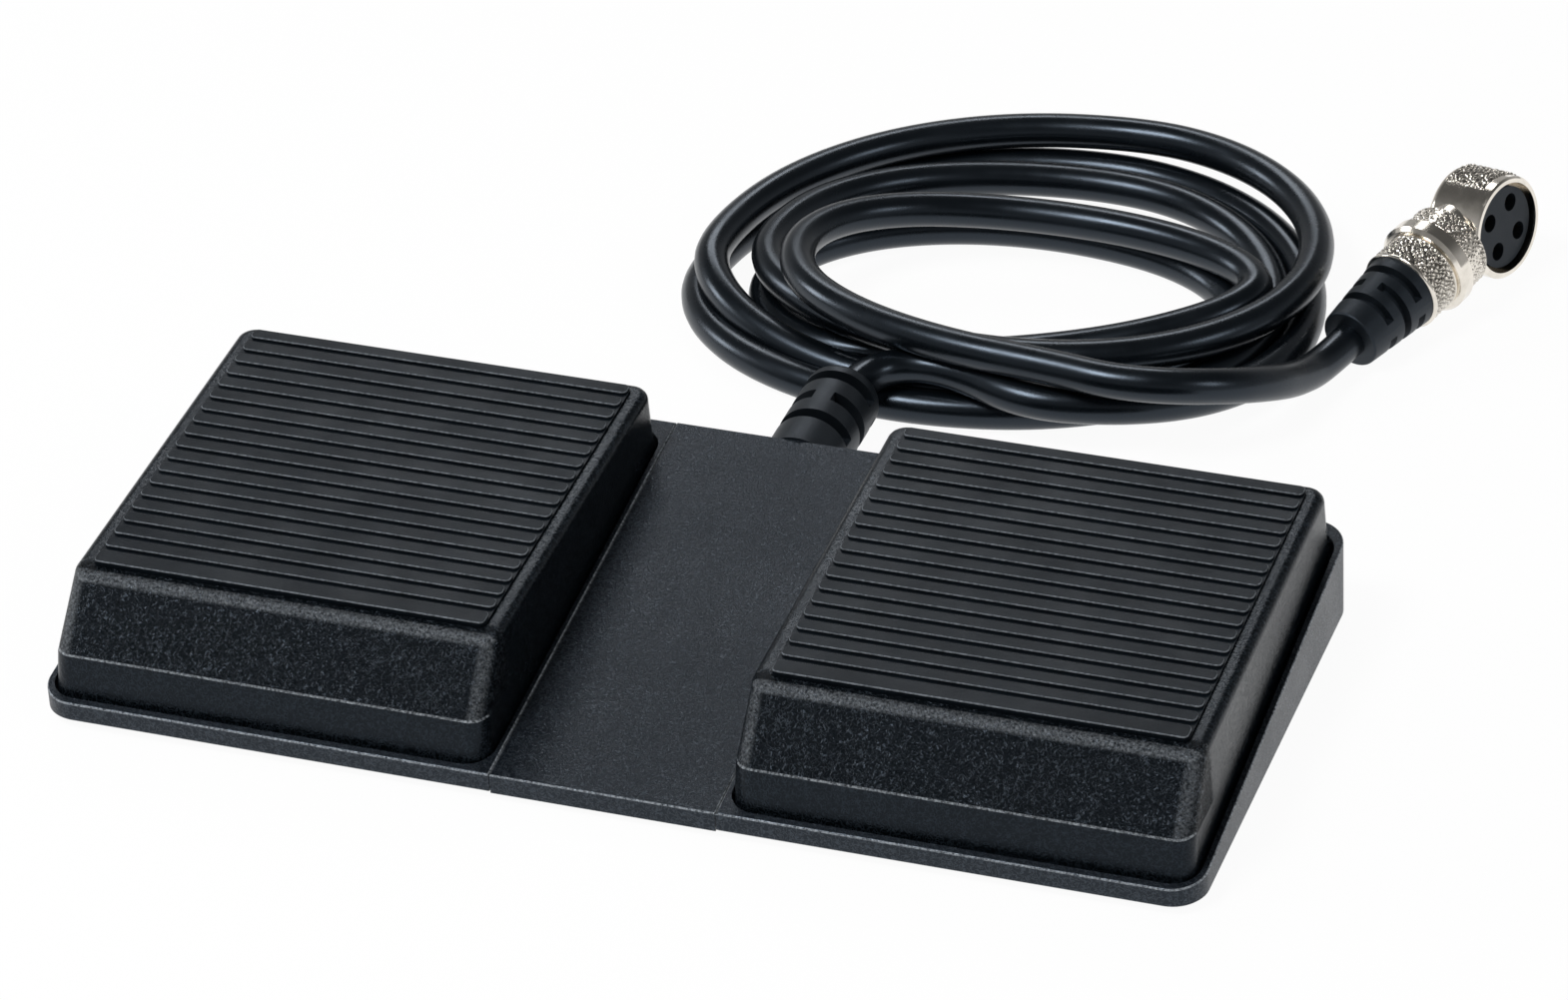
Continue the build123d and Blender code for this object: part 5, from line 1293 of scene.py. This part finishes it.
@dataclass
class Studio:
    """A pale floor, a white surround with a dim ceiling, and a few soft lamps. Lengths are in metres."""

    floor_reach: float = 6.0
    floor_drop: float = 0.0001
    # share of plain white in the floor as it is seen, which leaves its shadow
    floor_glow: float = 0.95
    # strengths of the surround as a light, and of the walls and ceiling that shiny surfaces mirror
    surround: float = 0.3
    walls: float = 0.36
    ceiling: float = 0.08
    # heights of the direction, from 0 to 1, between which the walls pass into the ceiling
    wall_top: float = 0.2
    ceiling_edge: float = 0.75
    lamps: tuple[Softbox, ...] = (
        Softbox("key_softbox", (-0.42, -0.50, 1.22), (0.48, 0.36), 12.0),
        Softbox("left_softbox", (-1.3, 0.0, 0.45), (0.3, 0.35), 3.5),
        Softbox("right_softbox", (1.15, -0.25, 0.8), (0.3, 0.35), 1.9),
        Softbox("rear_softbox", (-0.45, 1.2, 0.98), (0.7, 0.26), 3.6),
    )

    def seen_by(self, tree: Tree, *rays: str) -> Socket:
        """Share that is 1 on rays of the named kinds and 0 on others: the greatest of their flags.

        Args:
            tree: The node tree.
            *rays: Names of Light Path's outputs.

        Returns:
            The share's socket.
        """
        path = add_node(tree, "ShaderNodeLightPath")
        share = path.outputs[rays[0]]
        for ray in rays[1:]:
            share = add_node(tree, "ShaderNodeMath", {
                0: share, 1: path.outputs[ray],
            }, operation="MAXIMUM").outputs[0]
        return share

    def floor(self) -> Piece:
        """Make the pale floor, which looks white and keeps a soft shadow.

        Returns:
            The floor.
        """
        reach = np.linspace(-self.floor_reach, self.floor_reach, 3)
        x, y = np.meshgrid(reach, reach)
        points = np.stack([x, y, np.full_like(x, -self.floor_drop)], axis=-1)
        floor = grid_piece("floor", points, around=False, along=False)
        material = bpy.data.materials.new("pale_floor_paint")
        material.use_nodes = True
        tree = material.node_tree
        tree.nodes.clear()
        matt = add_node(tree, "ShaderNodeBsdfDiffuse", {"Color": linear("#f2f2f2")})
        glow = add_node(tree, "ShaderNodeEmission", {"Color": (1, 1, 1, 1), "Strength": 1.0})
        seen = self.seen_by(tree, "Is Camera Ray", "Is Transmission Ray", "Is Glossy Ray")
        share = add_node(tree, "ShaderNodeMath", {0: seen, 1: self.floor_glow}, operation="MULTIPLY")
        mixed = add_node(tree, "ShaderNodeMixShader", {
            0: share.outputs[0], 1: matt.outputs[0], 2: glow.outputs[0],
        })
        add_node(tree, "ShaderNodeOutputMaterial", {"Surface": mixed.outputs[0]})
        floor.data.materials.append(material)
        return floor

    def world(self) -> None:
        """Light the scene evenly from all round, and show white behind it.

        Shiny surfaces see grey walls above the floor, and a dim ceiling overhead, as in a room.
        """
        world = bpy.data.worlds.new("white_surround")
        world.use_nodes = True
        tree = world.node_tree
        tree.nodes.clear()
        toward = add_node(tree, "ShaderNodeTexCoord")
        height = add_node(tree, "ShaderNodeSeparateXYZ", {0: toward.outputs["Generated"]})
        room = add_node(tree, "ShaderNodeMapRange", {
            "Value": height.outputs["Z"], "From Min": self.wall_top, "From Max": self.ceiling_edge,
            "To Min": self.walls, "To Max": self.ceiling,
        }, interpolation_type="SMOOTHSTEP")
        light = add_node(tree, "ShaderNodeMix", {
            SHARE: self.seen_by(tree, "Is Glossy Ray"), NUMBER_A: self.surround,
            NUMBER_B: room.outputs["Result"],
        }, data_type="FLOAT")
        seen = self.seen_by(tree, "Is Camera Ray", "Is Transmission Ray")
        strength = add_node(tree, "ShaderNodeMix", {
            SHARE: seen, NUMBER_A: light.outputs[MIXED_NUMBER], NUMBER_B: 1.0,
        }, data_type="FLOAT")
        shown = add_node(tree, "ShaderNodeBackground", {
            "Color": (1, 1, 1, 1), "Strength": strength.outputs[MIXED_NUMBER],
        })
        add_node(tree, "ShaderNodeOutputWorld", {"Surface": shown.outputs[0]})
        bpy.context.scene.world = world

    def build(self) -> None:
        """Set up the floor, the surround and the lamps."""
        bpy.context.scene.view_settings.view_transform = "Standard"
        self.floor()
        self.world()
        for lamp in self.lamps:
            lamp.build()
        log.info("studio: floor, white surround, %d lamps", len(self.lamps))


def main() -> None:
    """Build the camera, the cord and its plug, the base, the pedals and the studio, in that order."""
    logging.basicConfig(level=logging.INFO, format="%(name)s: %(message)s")
    PhotoCamera().build()
    paints = Paints()
    plug = Plug()
    CoiledCord().build(paints, plug, plug.build(paints))
    Base().dress(paints)
    for side in Side:
        unit = PedalUnit(side)
        unit.dress(paints)
        unit.build(paints)
    Wiring().dress(paints)
    Studio().build()


if __name__ == "__main__":
    main()
